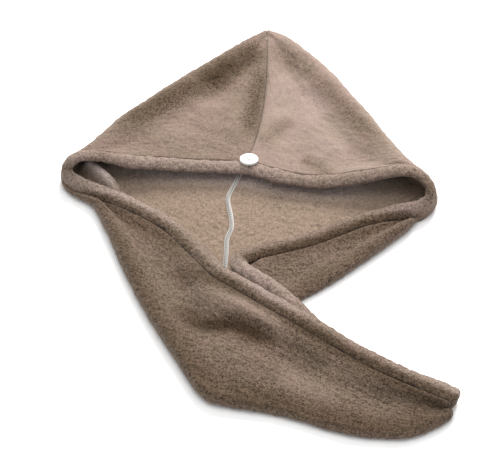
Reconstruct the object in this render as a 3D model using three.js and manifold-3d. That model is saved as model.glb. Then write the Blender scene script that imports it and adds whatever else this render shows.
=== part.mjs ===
// Hair turban towel, laid flat on a surface with the hollow of its hood open towards the viewer.
//
// Two mirror-image fleece panels are joined along one crown seam, and each has one straight rim with
// a plump rolled hem. Millimetres, +Z up, +Y away from the viewer. The towel lies on z = 0.
//
// Each panel is a sheet swept over numbered stations. At a station its section starts at the inner
// edge (the nape seam, then the rim), crosses the upper layer, rolls over at the fold that makes the
// silhouette, and comes back on the surface to the crown seam.

import * as THREE from "three";
import { mergeVertices } from "three/addons/utils/BufferGeometryUtils.js";
import Module from "manifold-3d";

const wasm = await Module();
wasm.setup();

// Driving sizes

const LAID_WIDTH = 386;
const LAID_LENGTH = 556;
const WALL = 3;
const PLY_GAP = 0.8;
const PIECE_GAP = 0.3;
const SEAM_GAP = 0.4;
const CROWN_SEAM_GAP = 1.6;
const FOLD_RADIUS = 12;
const MOUTH_LIFT = 22;
const TURNED_EDGE = 5;

const HEM_WIDTH = 17;
const HEM_THICKNESS = 9;

const RIDGE_WIDTH = 4.6;
const RIDGE_HEIGHT = 2.6;
const RIDGE_FIRST_ROW = 1.2;
const RIDGE_LAST_ROW = 8.9;

const BUTTON_DIAMETER = 19.5;
const BUTTON_THICKNESS = 3.2;
const BUTTON_RIM_WIDTH = 2.6;
const BUTTON_DISH_DEPTH = 0.9;
const BUTTON_EDGE_ROUND = 0.7;
const BUTTON_HOLE_DIAMETER = 2.3;
const BUTTON_HOLE_SPACING = 5;
const BUTTON_ABOVE_HEM = 7;
const THREAD_DIAMETER = 1.4;

const PLY_PITCH = WALL + PLY_GAP;
const HEM_PITCH = HEM_THICKNESS + PIECE_GAP;
const HEM_REACH = HEM_WIDTH / 2 + PIECE_GAP;

// Mesh density

const LEG_STEPS = 5;
const ROLL_STEPS = 6;
const LOWER_STEPS = 3;
const HEM_SIDES = 10;
const HEM_END_STEPS = 3;
const TURN_STEPS = 6;
const RIDGE_STEPS = 24;
const BUTTON_SIDES = 32;
const BUTTON_ROUND_STEPS = 3;
const HOLE_SIDES = 12;
const STRAND_SIDES = 8;

// Step along a table that a direction is measured over, and distance at which points are one.
const TABLE_STEP = 0.05;
const SAME_POINT = 1e-4;

// Share of a soft curve's length over which it keeps the direction it starts or ends with.
const SOFT_REACH = 0.4;

// Colours

const NAPE_TAUPE = new THREE.MeshStandardMaterial({ color: 0xa08c7b, roughness: 0.95, metalness: 0 });
const PANEL_TAUPE = new THREE.MeshStandardMaterial({ color: 0x8e7c6c, roughness: 0.95, metalness: 0 });
const HEM_TAUPE = new THREE.MeshStandardMaterial({ color: 0x96846f, roughness: 0.95, metalness: 0 });
const OVERLOCK_WHITE = new THREE.MeshStandardMaterial({ color: 0xd9d3c8, roughness: 0.8, metalness: 0 });
const BUTTON_WHITE = new THREE.MeshStandardMaterial({ color: 0xf4f4f2, roughness: 0.25, metalness: 0 });
const THREAD_WHITE = new THREE.MeshStandardMaterial({ color: 0xe6e3de, roughness: 0.7, metalness: 0 });

// Tables
//
// x and y are shares of the laid width and length. Plies and hems count the layers of cloth and of
// rolled hem that lie underneath. Lift is a share of the mouth's lift, roll one of the fold radius.

// Crown seam on the hood's floor, apex to the end of the fold: x, y.
const CROWN_SEAM = [
  [0.050, 0.530],
  [0.032, 0.400],
  [0.006, 0.270],
  [-0.015, 0.170],
  [-0.0405, 0.117],
  [-0.0555, 0.084],
  [-0.047, 0.038],
  [-0.0455, 0.010],
  [-0.0567, -0.018],
  [-0.059, -0.060],
  [-0.066, -0.130],
  [-0.083, -0.240],
  [-0.098, -0.336],
];

// Nape seam on the upper layer, apex to just above the rim: x, y, lift.
const NAPE_SEAM = [
  [0.051, 0.532, 0.30],
  [0.052, 0.476, 0.40],
  [0.048, 0.385, 0.38],
  [0.033, 0.275, 0.38],
];

// Station at which both panels pass from the nape seam to the rim.
const NAPE = 4;

// Hem of a panel from the nape on: x, y, plies, hems, lift, then the side that the panel leaves it on,
// as degrees from +Y outwards and degrees downwards.
const LEFT_HEM = [
  [0.000, 0.143, 1, 0, 0.30, 0, 0],
  [-0.070, 0.145, 1, 0, 0.30, 0, 0],
  [-0.150, 0.147, 1, 0, 0.33, 0, 0],
  [-0.229, 0.148, 1, 0, 0.44, 0, 0],
  [-0.305, 0.145, 1, 0, 0.63, 0, 3],
  [-0.362, 0.147, 1, 0, 0.84, 3, 8],
  [-0.410, 0.149, 1, 0, 0.95, 8, 12],
  [-0.450, 0.149, 1, 0, 0.90, 20, 22],
  [-0.473, 0.142, 1, 0, 0.71, 35, 34],
  [-0.482, 0.133, 1, 0, 0.50, 52, 43],
  [-0.474, 0.118, 1, 0, 0.29, 98, 50],
  [-0.445, 0.103, 1, 0, 0.17, 138, 48],
  [-0.405, 0.091, 1, 0, 0.08, 152, 30],
  [-0.347, 0.075, 1, 0, 0.02, 155, 8],
  [-0.269, 0.042, 1, 0, 0, 150, 0],
  [-0.202, 0.005, 1, 0, 0, 140, 0],
  [-0.151, -0.038, 1.1, 0, 0, 130, 0],
  [-0.109, -0.081, 2.1, 0, 0, 130, 0],
  [-0.072, -0.119, 3.2, 0, 0, 140, 0],
  [-0.022, -0.146, 3.5, 0, 0, 145, 0],
  [0.032, -0.175, 3.3, 0.1, 0, 145, 0],
  [0.100, -0.213, 1.5, 1, 0, 145, 0],
  [0.160, -0.241, 0.9, 1, 0, 145, 0],
  [0.231, -0.276, 0.1, 1, 0, 145, 0],
  [0.300, -0.310, 0, 1, 0, 145, 0],
  [0.369, -0.339, 0, 1, 0, 145, 0],
  [0.437, -0.364, 0, 1, 0, 150, 0],
  [0.482, -0.381, 0, 1, 0, 150, 0],
];

const RIGHT_HEM = [
  [0.000, 0.143, 1, 0, 0.30, 0, 0],
  [0.082, 0.121, 1, 0, 0.27, 0, 0],
  [0.160, 0.109, 1, 0, 0.26, 0, 0],
  [0.230, 0.107, 1, 0, 0.36, 0, 0],
  [0.298, 0.107, 1, 0, 0.60, 0, 3],
  [0.352, 0.108, 1, 0, 0.84, 3, 8],
  [0.400, 0.108, 1, 0, 1.00, 8, 12],
  [0.436, 0.102, 1, 0, 0.98, 18, 18],
  [0.465, 0.088, 1, 0, 0.76, 38, 34],
  [0.475, 0.071, 1, 0, 0.50, 52, 43],
  [0.465, 0.053, 1, 0, 0.29, 100, 50],
  [0.430, 0.040, 1, 0, 0.17, 142, 45],
  [0.370, 0.037, 1, 0, 0.05, 158, 18],
  [0.301, 0.022, 1, 0, 0, 155, 0],
  [0.235, 0.000, 1, 0, 0, 155, 0],
  [0.156, -0.027, 1, 0, 0, 158, 0],
  [0.085, -0.044, 1, 0, 0, 155, 0],
  [0.020, -0.0605, 1.3, 0, 0, 150, 0],
  [-0.019, -0.076, 1.8, 0, 0, 125, 0],
  [-0.0255, -0.095, 2, 0, 0, 84, 0],
  [-0.003, -0.1115, 2, 0, 0, 42, 0],
  [0.031, -0.130, 2, 0, 0, 45, 0],
  [0.065, -0.151, 2, 0, 0, 45, 0],
  [0.098, -0.177, 1.9, 0, 0, 45, 0],
  [0.138, -0.208, 1.2, 0, 0, 45, 0],
  [0.178, -0.239, 0.3, 0, 0, 42, 0],
  [0.231, -0.275, 0, 0, 0, 38, 0],
  [0.300, -0.309, 0, 0, 0, 35, 0],
  [0.368, -0.338, 0, 0, 0, 33, 0],
  [0.438, -0.363, 0, 0, 0, 30, 0],
  [0.477, -0.380, 0, 0, 0, 30, 0],
];

// Folds of a panel: silhouette x, y, roll, angle at which the roll starts in degrees above level,
// plies and lift halfway across the upper layer, and the row of the crown seam that the section ends at.
const LEFT_FOLD = [
  [0.053, 0.552, 0.42, 90, 1, 0.30, 0],
  [-0.008, 0.511, 0.70, 90, 1, 0.40, 0.6],
  [-0.085, 0.459, 0.85, 90, 1, 0.40, 1.3],
  [-0.165, 0.405, 0.95, 90, 1, 0.40, 2.0],
  [-0.245, 0.351, 1.00, 90, 1, 0.42, 2.7],
  [-0.306, 0.307, 1.00, 90, 1, 0.44, 3.3],
  [-0.354, 0.275, 1.00, 90, 1, 0.50, 3.9],
  [-0.387, 0.243, 1.00, 90, 1, 0.58, 4.4],
  [-0.418, 0.214, 0.98, 90, 1, 0.70, 4.9],
  [-0.444, 0.192, 0.95, 90, 1, 0.80, 5.3],
  [-0.466, 0.180, 0.88, 85, 1, 0.80, 5.7],
  [-0.482, 0.169, 0.75, 60, 1, 0.65, 6.0],
  [-0.493, 0.160, 0.60, 35, 1, 0.45, 6.3],
  [-0.498, 0.146, 0.45, 15, 1, 0.22, 6.6],
  [-0.495, 0.115, 0.42, 10, 1, 0.10, 6.9],
  [-0.461, 0.088, 0.42, 15, 1, 0.06, 7.2],
  [-0.419, 0.068, 0.45, 45, 1, 0.03, 7.5],
  [-0.395, 0.040, 0.50, 85, 1, 0, 7.9],
  [-0.358, -0.022, 0.50, 90, 1, 0, 8.4],
  [-0.320, -0.092, 0.48, 90, 1, 0, 8.9],
  [-0.280, -0.157, 0.46, 90, 1, 0, 9.4],
  [-0.240, -0.215, 0.46, 90, 1, 0, 10.0],
  [-0.180, -0.292, 0.47, 90, 1.8, 0, 10.9],
  [-0.112, -0.372, 0.47, 90, 3, 0, 12],
  [-0.040, -0.392, 0.36, 90, 2.8, 0, 12],
  [0.044, -0.403, 0.30, 90, 1.7, 0, 12],
  [0.120, -0.419, 0.29, 90, 1, 0, 12],
  [0.200, -0.440, 0.29, 90, 1, 0, 12],
  [0.285, -0.452, 0.29, 90, 1, 0, 12],
  [0.368, -0.452, 0.29, 90, 1, 0, 12],
  [0.437, -0.432, 0.29, 90, 1.2, 0, 12],
  [0.478, -0.410, 0.29, 90, 1.5, 0, 12],
];

const RIGHT_FOLD = [
  [0.053, 0.552, 0.42, 90, 1, 0.30, 0],
  [0.115, 0.517, 0.70, 90, 1, 0.40, 0.6],
  [0.173, 0.465, 0.85, 90, 1, 0.40, 1.3],
  [0.232, 0.408, 0.95, 90, 1, 0.40, 2.0],
  [0.287, 0.338, 1.00, 90, 1, 0.40, 2.7],
  [0.331, 0.284, 1.00, 90, 1, 0.42, 3.3],
  [0.367, 0.233, 1.00, 90, 1, 0.44, 3.9],
  [0.398, 0.194, 1.00, 90, 1, 0.50, 4.4],
  [0.423, 0.163, 1.00, 90, 1, 0.64, 4.9],
  [0.447, 0.142, 0.98, 90, 1, 0.78, 5.3],
  [0.468, 0.127, 0.92, 85, 1, 0.85, 5.7],
  [0.485, 0.112, 0.80, 65, 1, 0.72, 6.0],
  [0.493, 0.094, 0.60, 40, 1, 0.50, 6.3],
  [0.496, 0.078, 0.45, 15, 1, 0.22, 6.6],
  [0.482, 0.051, 0.42, 10, 1, 0.10, 6.9],
  [0.442, 0.029, 0.42, 10, 1, 0.07, 7.3],
  [0.410, 0.000, 0.45, 70, 1, 0.01, 7.8],
  [0.348, -0.040, 0.42, 90, 1, 0, 8.4],
  [0.272, -0.086, 0.36, 90, 1, 0, 9.0],
  [0.195, -0.130, 0.28, 90, 1, 0, 9.6],
  [0.122, -0.166, 0.22, 90, 1, 0, 10.3],
  [0.040, -0.232, 0.17, 90, 1, 0, 11.2],
  [-0.096, -0.336, 0.16, 90, 1, 0, 11.7],
];

// Station of the left panel at which its silhouette fold meets the crown seam and the tail starts.
const TAIL = 23;

// Station of the right panel's last section beside the hem, and of the fold that turns it over.
const RIGHT_HEM_LEAVES = 21;
const RIGHT_TURN = 22;

// Start of the line that the right panel is turned over on, by the crossing of the rims: x, y.
const TURN_START = [-0.045, -0.108];

// Turned-over tail of the right panel: its station on the right hem, the left panel's station
// whose turned edge it meets, and the plies halfway across and at that edge.
const RIGHT_TAIL = [
  [24.0, 23.4, 2, 1.3],
  [25.4, 24.0, 2, 0.4],
  [27.0, 25.0, 0.7, 0],
  [28.4, 26.0, 0, 0],
  [30.0, 27.0, 0, 0],
  [31.0, 28.0, 0, 0],
  [32.0, 29.0, 0, 0],
  [33.0, 30.0, 0, 0],
  [33.9, 30.9, 0, 0],
];

// Curves and surfaces

function catmullRom(before, from, to, after, share) {
  const leave = (to - before) / 2;
  const arrive = (after - from) / 2;
  const square = share * share;
  const cube = square * share;
  return (
    (2 * cube - 3 * square + 1) * from +
    (cube - 2 * square + share) * leave +
    (3 * square - 2 * cube) * to +
    (cube - square) * arrive
  );
}

// Values of a table between its rows, row 0 at place 0.
function rowAt(rows, place) {
  const last = rows.length - 1;
  const index = THREE.MathUtils.clamp(Math.floor(place), 0, last - 1);
  const from = rows[index];
  const to = rows[index + 1];
  const before = rows[Math.max(index - 1, 0)];
  const after = rows[Math.min(index + 2, last)];
  return from.map((value, c) => catmullRom(before[c], value, to[c], after[c], place - index));
}

function planPoint(x, y, z) {
  return new THREE.Vector3(x * LAID_WIDTH, y * LAID_LENGTH, z);
}

// Middle height of a layer of cloth, never under the surface that the towel lies on.
function layerHeight(plies, lift) {
  return WALL / 2 + Math.max(plies, 0) * PLY_PITCH + lift * MOUTH_LIFT;
}

function hemCentre(side, station) {
  const [x, y, plies, hems, lift] = rowAt(side.hem, station - NAPE);
  const support = Math.max(plies * PLY_PITCH + hems * HEM_PITCH + lift * MOUTH_LIFT, 0);
  const centre = planPoint(x, y, support + HEM_THICKNESS / 2);
  centre.x += side.sign * SEAM_GAP / 2;
  return centre;
}

// Centre, direction of travel, wide axis and thin axis of the hem. At the nape its end is square to
// the seam, so that the two hems meet face to face.
function hemFrame(side, station) {
  const last = NAPE + side.hem.length - 1;
  const centre = hemCentre(side, station);
  const ahead = hemCentre(side, Math.min(station + TABLE_STEP, last));
  const along = ahead.sub(hemCentre(side, Math.max(station - TABLE_STEP, NAPE))).normalize();
  if (station === NAPE) {
    along.set(side.sign, 0, 0);
  }
  const [headingDegrees, pitchDegrees] = rowAt(side.hem, station - NAPE).slice(5);
  const heading = THREE.MathUtils.degToRad(headingDegrees);
  const pitch = THREE.MathUtils.degToRad(pitchDegrees);
  const wide = new THREE.Vector3(
    side.sign * Math.sin(heading) * Math.cos(pitch),
    Math.cos(heading) * Math.cos(pitch),
    -Math.sin(pitch),
  );
  wide.addScaledVector(along, -wide.dot(along)).normalize();
  const thin = new THREE.Vector3().crossVectors(along, wide);
  return { centre, along, wide, thin };
}

// Inner edge of a panel's upper layer, the direction in which a hem sends the cloth off, and the share
// of that direction that the cloth keeps.
function innerEdge(side, station) {
  const napeFrame = hemFrame(side, NAPE);
  const nape = napeFrame.centre.clone().addScaledVector(napeFrame.wide, HEM_REACH);
  if (station < NAPE) {
    const rows = [...NAPE_SEAM, [
      (nape.x - side.sign * SEAM_GAP / 2) / LAID_WIDTH,
      nape.y / LAID_LENGTH,
      (nape.z - layerHeight(1, 0)) / MOUTH_LIFT,
    ]];
    const [x, y, lift] = rowAt(rows, station);
    const point = planPoint(x, y, layerHeight(1, lift));
    point.x += side.sign * SEAM_GAP / 2;
    return { point, leave: napeFrame.wide, hold: Math.max(0, station - NAPE + 1) };
  }
  const frame = hemFrame(side, Math.min(station, side.hemLeaves));
  const point = frame.centre.clone().addScaledVector(frame.wide, HEM_REACH);
  const past = Math.max(0, station - side.hemLeaves);
  point.lerp(planPoint(...TURN_START, layerHeight(1, 0)), past);
  return { point, leave: frame.wide, hold: 1 - past };
}

// Middle line of a panel's section, from the inner edge to the crown seam: its points, and the way that
// the cloth faces where the roll or the surface below sets it.
function panelSection(side, station) {
  const [x, y, roll, start, plies, lift, seamRow] = rowAt(side.fold, station);
  const inner = innerEdge(side, station);
  const silhouette = planPoint(x, y, 0);
  silhouette.x += side.sign * SEAM_GAP / 2;
  const outwards = silhouette.clone().sub(inner.point).setZ(0).normalize();
  const radius = roll * FOLD_RADIUS;
  const centre = silhouette.clone().addScaledVector(outwards, -(WALL / 2 + radius));
  centre.z = WALL / 2 + radius;

  const rollPoint = (angle) => centre.clone()
    .addScaledVector(outwards, radius * Math.cos(angle))
    .add(new THREE.Vector3(0, 0, radius * Math.sin(angle)));
  const startAngle = THREE.MathUtils.degToRad(start);
  const crest = rollPoint(startAngle);
  const intoRoll = outwards.clone().multiplyScalar(Math.sin(startAngle));
  intoRoll.z = -Math.cos(startAngle);

  const middle = inner.point.clone().lerp(crest, 0.5).setZ(layerHeight(plies, lift));
  const across = crest.clone().sub(inner.point).normalize();
  across.z *= 1 - start / 90;
  const leave = across.clone().lerp(inner.leave, inner.hold).normalize();
  const points = [
    ...softSpan(inner.point, leave, middle, across, LEG_STEPS).slice(0, -1),
    ...softSpan(middle, across, crest, intoRoll, LEG_STEPS).slice(0, -1),
  ];
  const facings = points.map(() => null);
  for (let step = 0; step < ROLL_STEPS; step += 1) {
    const point = rollPoint(THREE.MathUtils.lerp(startAngle, -Math.PI / 2, step / ROLL_STEPS));
    points.push(point);
    facings.push(point.clone().sub(centre).multiplyScalar(-side.sign));
  }
  const rollEnd = rollPoint(-Math.PI / 2);
  const end = lowerEnd(side, station, seamRow, rollEnd, outwards);
  for (let step = 0; step <= LOWER_STEPS; step += 1) {
    points.push(rollEnd.clone().lerp(end, step / LOWER_STEPS));
    facings.push(new THREE.Vector3(0, 0, side.sign));
  }
  return { points, facings };
}

// Where the lower layer ends: beside the crown seam, and on the tail at a narrow turned edge.
function lowerEnd(side, station, seamRow, rollEnd, outwards) {
  const turned = rollEnd.clone().addScaledVector(outwards, -TURNED_EDGE);
  if (station >= side.tail + 1) {
    return turned;
  }
  const last = CROWN_SEAM.length - 1;
  const seam = planPoint(...rowAt(CROWN_SEAM, seamRow), WALL / 2);
  const ahead = planPoint(...rowAt(CROWN_SEAM, Math.min(seamRow + TABLE_STEP, last)), WALL / 2);
  const behind = planPoint(...rowAt(CROWN_SEAM, Math.max(seamRow - TABLE_STEP, 0)), WALL / 2);
  const along = ahead.sub(behind).normalize();
  const halfGap = THREE.MathUtils.lerp(SEAM_GAP, CROWN_SEAM_GAP, Math.min(station, 1)) / 2;
  seam.x += -along.y * side.sign * halfGap;
  seam.y += along.x * side.sign * halfGap;
  return seam.lerp(turned, Math.max(0, station - side.tail));
}

// Soft curve between two points with a given direction at each.
function softSpan(from, leave, to, arrive, steps) {
  const reach = SOFT_REACH * from.distanceTo(to);
  const curve = new THREE.CubicBezierCurve3(
    from,
    from.clone().addScaledVector(leave, reach),
    to.clone().addScaledVector(arrive, -reach),
    to,
  );
  return curve.getPoints(steps);
}

// Closed ring around a sheet's section: the outer face out, the inner face back. Where no facing is
// given, the cloth faces square to its section and to the way to the sections ahead and behind.
function sheetRing(points, facings, ahead, behind, thickness, flatten) {
  const last = points.length - 1;
  const outer = [];
  const inner = [];
  points.forEach((point, i) => {
    const across = points[Math.min(i + 1, last)].clone().sub(points[Math.max(i - 1, 0)]);
    const along = ahead[i].clone().sub(behind[i]);
    const normal = facings[i]?.clone() ?? new THREE.Vector3().crossVectors(across, along);
    if (flatten === "all" || (flatten === "edge" && i === 0)) {
      normal.x = 0;
    }
    normal.normalize();
    outer.push(point.clone().addScaledVector(normal, thickness / 2));
    inner.unshift(point.clone().addScaledVector(normal, -thickness / 2));
  });
  return [...outer, ...inner];
}

// Closed solid through rings of equally many points. The quads of a ring's two halves are split along
// matching diagonals. Each end is closed by a strip across the ring.
function loft(rings) {
  const count = rings[0].length;
  const positions = rings.flat().flatMap((point) => point.toArray());
  const indices = [];
  const quad = (a, b, c, d) => indices.push(a, b, c, a, c, d);
  for (let ring = 0; ring < rings.length - 1; ring += 1) {
    for (let i = 0; i < count; i += 1) {
      const next = (i + 1) % count;
      const here = ring * count;
      const ahead = here + count;
      if (i < count / 2) {
        quad(here + i, here + next, ahead + next, ahead + i);
      } else {
        quad(here + next, ahead + next, ahead + i, here + i);
      }
    }
  }
  const farRing = (rings.length - 1) * count;
  for (let i = 0; i < count / 2 - 1; i += 1) {
    const mate = count - 1 - i;
    quad(i, mate, mate - 1, i + 1);
    quad(farRing + i, farRing + i + 1, farRing + mate - 1, farRing + mate);
  }
  const geometry = new THREE.BufferGeometry();
  geometry.setAttribute("position", new THREE.Float32BufferAttribute(positions, 3));
  geometry.setIndex(indices);
  return outwardFacing(geometry);
}

// Turns a closed geometry's faces outwards, found from the sign of its volume.
function outwardFacing(geometry) {
  const index = geometry.index.array;
  const position = geometry.attributes.position;
  const corner = (k) => new THREE.Vector3().fromBufferAttribute(position, index[k]);
  let volume = 0;
  for (let k = 0; k < index.length; k += 3) {
    volume += corner(k).dot(corner(k + 1).cross(corner(k + 2)));
  }
  if (volume < 0) {
    for (let k = 0; k < index.length; k += 3) {
      [index[k + 1], index[k + 2]] = [index[k + 2], index[k + 1]];
    }
  }
  return geometry;
}

function toSolid(geometry) {
  const bare = new THREE.BufferGeometry();
  bare.setAttribute("position", geometry.attributes.position.clone());
  bare.setIndex(geometry.index);
  const merged = mergeVertices(bare, SAME_POINT);
  return new wasm.Manifold(new wasm.Mesh({
    numProp: 3,
    vertProperties: new Float32Array(merged.attributes.position.array),
    triVerts: new Uint32Array(merged.index.array),
  }));
}

function toGeometry(solid) {
  const mesh = solid.getMesh();
  const geometry = new THREE.BufferGeometry();
  geometry.setAttribute("position", new THREE.Float32BufferAttribute(mesh.vertProperties, 3));
  geometry.setIndex([...mesh.triVerts]);
  return geometry;
}

// The largest body of a solid, with any bubble left between two joined sheets filled.
function largestBody(solid) {
  return solid.decompose().reduce((most, body) => (body.volume() > most.volume() ? body : most));
}

// Stations of a sweep, closer together where a table bends most.
function stations(breaks) {
  const list = [];
  breaks.forEach(([from, to, steps]) => {
    for (let step = 0; step < steps; step += 1) {
      list.push(THREE.MathUtils.lerp(from, to, step / steps));
    }
  });
  list.push(breaks[breaks.length - 1][1]);
  return list;
}

// Sub-parts

const LEFT = { sign: -1, hem: LEFT_HEM, fold: LEFT_FOLD, hemLeaves: LEFT_FOLD.length - 1, tail: TAIL };
const RIGHT = {
  sign: 1, hem: RIGHT_HEM, fold: RIGHT_FOLD, hemLeaves: RIGHT_HEM_LEAVES, tail: RIGHT_FOLD.length,
};

function foldedSheet(side, list) {
  const first = list[0];
  const last = list[list.length - 1];
  return loft(list.map((station) => {
    const { points, facings } = panelSection(side, station);
    const ahead = panelSection(side, Math.min(station + TABLE_STEP, last)).points;
    const behind = panelSection(side, Math.max(station - TABLE_STEP, first)).points;
    const flatten = station === 0 ? "all" : station <= NAPE ? "edge" : "none";
    return sheetRing(points, facings, ahead, behind, WALL, flatten);
  }));
}

function leftPanel() {
  const list = stations([[0, 1, 3], [1, 9, 8], [9, 17, 14], [17, 23, 7], [23, 31, 16]]);
  return clearOfHems(toSolid(foldedSheet(LEFT, list)));
}

// A panel with the shallow bites that keep it clear of both hems.
function clearOfHems(solid) {
  const clear = solid
    .subtract(toSolid(hemTube(LEFT, LEFT_HEM_STATIONS, PIECE_GAP)))
    .subtract(toSolid(hemTube(RIGHT, RIGHT_HEM_STATIONS, PIECE_GAP)));
  return toGeometry(largestBody(clear));
}

// Points along a line of the right panel's turned-over tail, from the inner edge to the turned edge.
function tailSection(from, leave, middleHeight, to) {
  const middle = from.clone().lerp(to, 0.5).setZ(middleHeight);
  const across = to.clone().sub(from).setZ(0).normalize();
  return [
    ...softSpan(from, leave ?? across, middle, across, LEG_STEPS).slice(0, -1),
    ...softSpan(middle, across, to, across, LEG_STEPS),
  ];
}

function rightTailSection(place) {
  const [hemStation, leftStation, plies, edgePlies] = rowAt(RIGHT_TAIL, place);
  const frame = hemFrame(RIGHT, hemStation);
  const leave = frame.wide.clone().negate();
  const from = frame.centre.clone().addScaledVector(leave, HEM_REACH);
  const leftEdge = panelSection(LEFT, leftStation).points;
  const end = leftEdge[leftEdge.length - 1];
  const inwards = end.clone().sub(leftEdge[leftEdge.length - 2]).setZ(0).normalize();
  const to = end.clone().addScaledVector(inwards, 2 * PIECE_GAP).setZ(layerHeight(edgePlies, 0));
  return tailSection(from, leave, layerHeight(plies, 0), to);
}

// The strip that rolls the right panel over, then its tail under the left panel's.
function rightTail() {
  const radius = PLY_PITCH / 2;
  const lineStart = planPoint(...TURN_START, 0);
  const lineEnd = planPoint(...rowAt(RIGHT_FOLD, RIGHT_TURN).slice(0, 2), 0);
  const line = lineEnd.clone().sub(lineStart).normalize();
  const west = new THREE.Vector3(line.y, -line.x, 0);
  const stripSection = (sideways, height) => {
    const from = lineStart.clone().addScaledVector(west, sideways).setZ(height);
    const to = lineEnd.clone().addScaledVector(west, sideways).setZ(height);
    return tailSection(from, null, height, to);
  };
  const low = layerHeight(1, 0);
  const lap = 2 * WALL;
  const sections = [stripSection(-lap, low)];
  for (let turn = 0; turn <= TURN_STEPS; turn += 1) {
    const angle = Math.PI * (turn / TURN_STEPS - 0.5);
    sections.push(stripSection(radius * Math.cos(angle), low + radius + radius * Math.sin(angle)));
  }
  const last = RIGHT_TAIL.length - 1;
  for (let place = 0; place <= last; place += 0.5) {
    sections.push(rightTailSection(place));
  }
  const end = sections.length - 1;
  return loft(sections.map((points, i) => sheetRing(
    points,
    [],
    sections[Math.min(i + 1, end)],
    sections[Math.max(i - 1, 0)],
    i === 0 ? WALL / 2 : WALL,
    "none",
  )));
}

function rightPanel() {
  const hood = foldedSheet(RIGHT, stations([[0, 1, 3], [1, 9, 8], [9, 16, 13], [16, 22, 8]]));
  return clearOfHems(toSolid(hood).add(toSolid(rightTail())));
}

// Rolled hem: an oval swept along the rim, square at the nape and rounded off at the tail's tip.
function hemTube(side, list, grow) {
  const rings = list.map((station) => hemRing(hemFrame(side, station), 0, 1, grow));
  const tip = hemFrame(side, list[list.length - 1]);
  for (let step = 1; step <= HEM_END_STEPS; step += 1) {
    const angle = (step / (HEM_END_STEPS + 0.5)) * (Math.PI / 2);
    rings.push(hemRing(tip, (HEM_THICKNESS / 2) * Math.sin(angle), Math.cos(angle), grow));
  }
  return loft(rings);
}

// Oval of the hem a distance past its frame, at a share of its full size.
function hemRing({ centre, along, wide, thin }, past, share, grow) {
  const ring = [];
  for (let i = 0; i < HEM_SIDES; i += 1) {
    const angle = (2 * Math.PI * (i + 0.5)) / HEM_SIDES;
    ring.push(centre.clone()
      .addScaledVector(along, past)
      .addScaledVector(wide, (share * HEM_WIDTH / 2 + grow) * Math.cos(angle))
      .addScaledVector(thin, (share * HEM_THICKNESS / 2 + grow) * Math.sin(angle)));
  }
  return ring;
}

const LEFT_HEM_STATIONS = stations([[4, 9, 5], [9, 17, 14], [17, 31, 15]]);
const RIGHT_HEM_STATIONS = stations([[4, 9, 5], [9, 16, 13], [16, 21, 5], [21, 25, 9], [25, 34, 10]]);

// Section of the seam ridge, as shares of its width from the middle and of its height.
const RIDGE_OUTLINE = [[-0.5, 0], [0.5, 0], [0.5, 0.55], [0.25, 1], [-0.25, 1], [-0.5, 0.55]];

// Raised seam allowance along the crown seam on the hood's floor.
function crownSeamRidge() {
  const rings = [];
  const bottom = WALL + PIECE_GAP;
  for (let step = 0; step <= RIDGE_STEPS; step += 1) {
    const place = THREE.MathUtils.lerp(RIDGE_FIRST_ROW, RIDGE_LAST_ROW, step / RIDGE_STEPS);
    const centre = planPoint(...rowAt(CROWN_SEAM, place), 0);
    const along = planPoint(...rowAt(CROWN_SEAM, place + TABLE_STEP), 0).sub(centre).normalize();
    const sideways = new THREE.Vector3(-along.y, along.x, 0);
    rings.push(RIDGE_OUTLINE.map(([across, up]) => centre.clone()
      .addScaledVector(sideways, across * RIDGE_WIDTH)
      .setZ(bottom + up * RIDGE_HEIGHT)));
  }
  return loft(rings);
}

// Button with a raised round rim, a dished middle and four holes.
function buttonSolid() {
  const radius = BUTTON_DIAMETER / 2;
  const half = BUTTON_THICKNESS / 2;
  const profile = new THREE.Path();
  profile.moveTo(0, -half);
  profile.lineTo(radius - BUTTON_EDGE_ROUND, -half);
  profile.quadraticCurveTo(radius, -half, radius, -half + BUTTON_EDGE_ROUND);
  profile.lineTo(radius, half - BUTTON_EDGE_ROUND);
  profile.quadraticCurveTo(radius, half, radius - BUTTON_RIM_WIDTH / 2, half);
  profile.lineTo(radius - BUTTON_RIM_WIDTH, half - BUTTON_DISH_DEPTH);
  profile.lineTo(0, half - BUTTON_DISH_DEPTH);
  const disc = new THREE.LatheGeometry(profile.getPoints(BUTTON_ROUND_STEPS), BUTTON_SIDES);
  disc.rotateX(Math.PI / 2);
  let solid = toSolid(outwardFacing(disc));
  holePlaces().forEach(([x, y]) => {
    const hole = new THREE.CylinderGeometry(
      BUTTON_HOLE_DIAMETER / 2, BUTTON_HOLE_DIAMETER / 2, 2 * BUTTON_THICKNESS, HOLE_SIDES,
    );
    hole.rotateX(Math.PI / 2).translate(x, y, 0);
    solid = solid.subtract(toSolid(hole));
  });
  return toGeometry(solid);
}

function holePlaces() {
  const reach = BUTTON_HOLE_SPACING / 2;
  return [[-reach, 0], [reach, 0], [0, -reach], [0, reach]];
}

// Thread: four strands through the holes, tied by a cross on top of the button.
function threadSolid() {
  const top = BUTTON_THICKNESS / 2 - BUTTON_DISH_DEPTH + PIECE_GAP + THREAD_DIAMETER / 2;
  const under = -BUTTON_THICKNESS / 2;
  const strandRadius = THREAD_DIAMETER / 2;
  let solid = null;
  const join = (geometry) => {
    const piece = toSolid(geometry);
    solid = solid ? solid.add(piece) : piece;
  };
  holePlaces().forEach(([x, y]) => {
    const strand = new THREE.CylinderGeometry(strandRadius, strandRadius, top - under, STRAND_SIDES);
    strand.rotateX(Math.PI / 2).translate(x, y, (top + under) / 2);
    join(strand);
  });
  const barLength = BUTTON_HOLE_SPACING + THREAD_DIAMETER;
  join(new THREE.BoxGeometry(barLength, THREAD_DIAMETER, THREAD_DIAMETER).translate(0, 0, top));
  join(new THREE.BoxGeometry(THREAD_DIAMETER, barLength, THREAD_DIAMETER).translate(0, 0, top));
  return toGeometry(solid);
}

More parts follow.
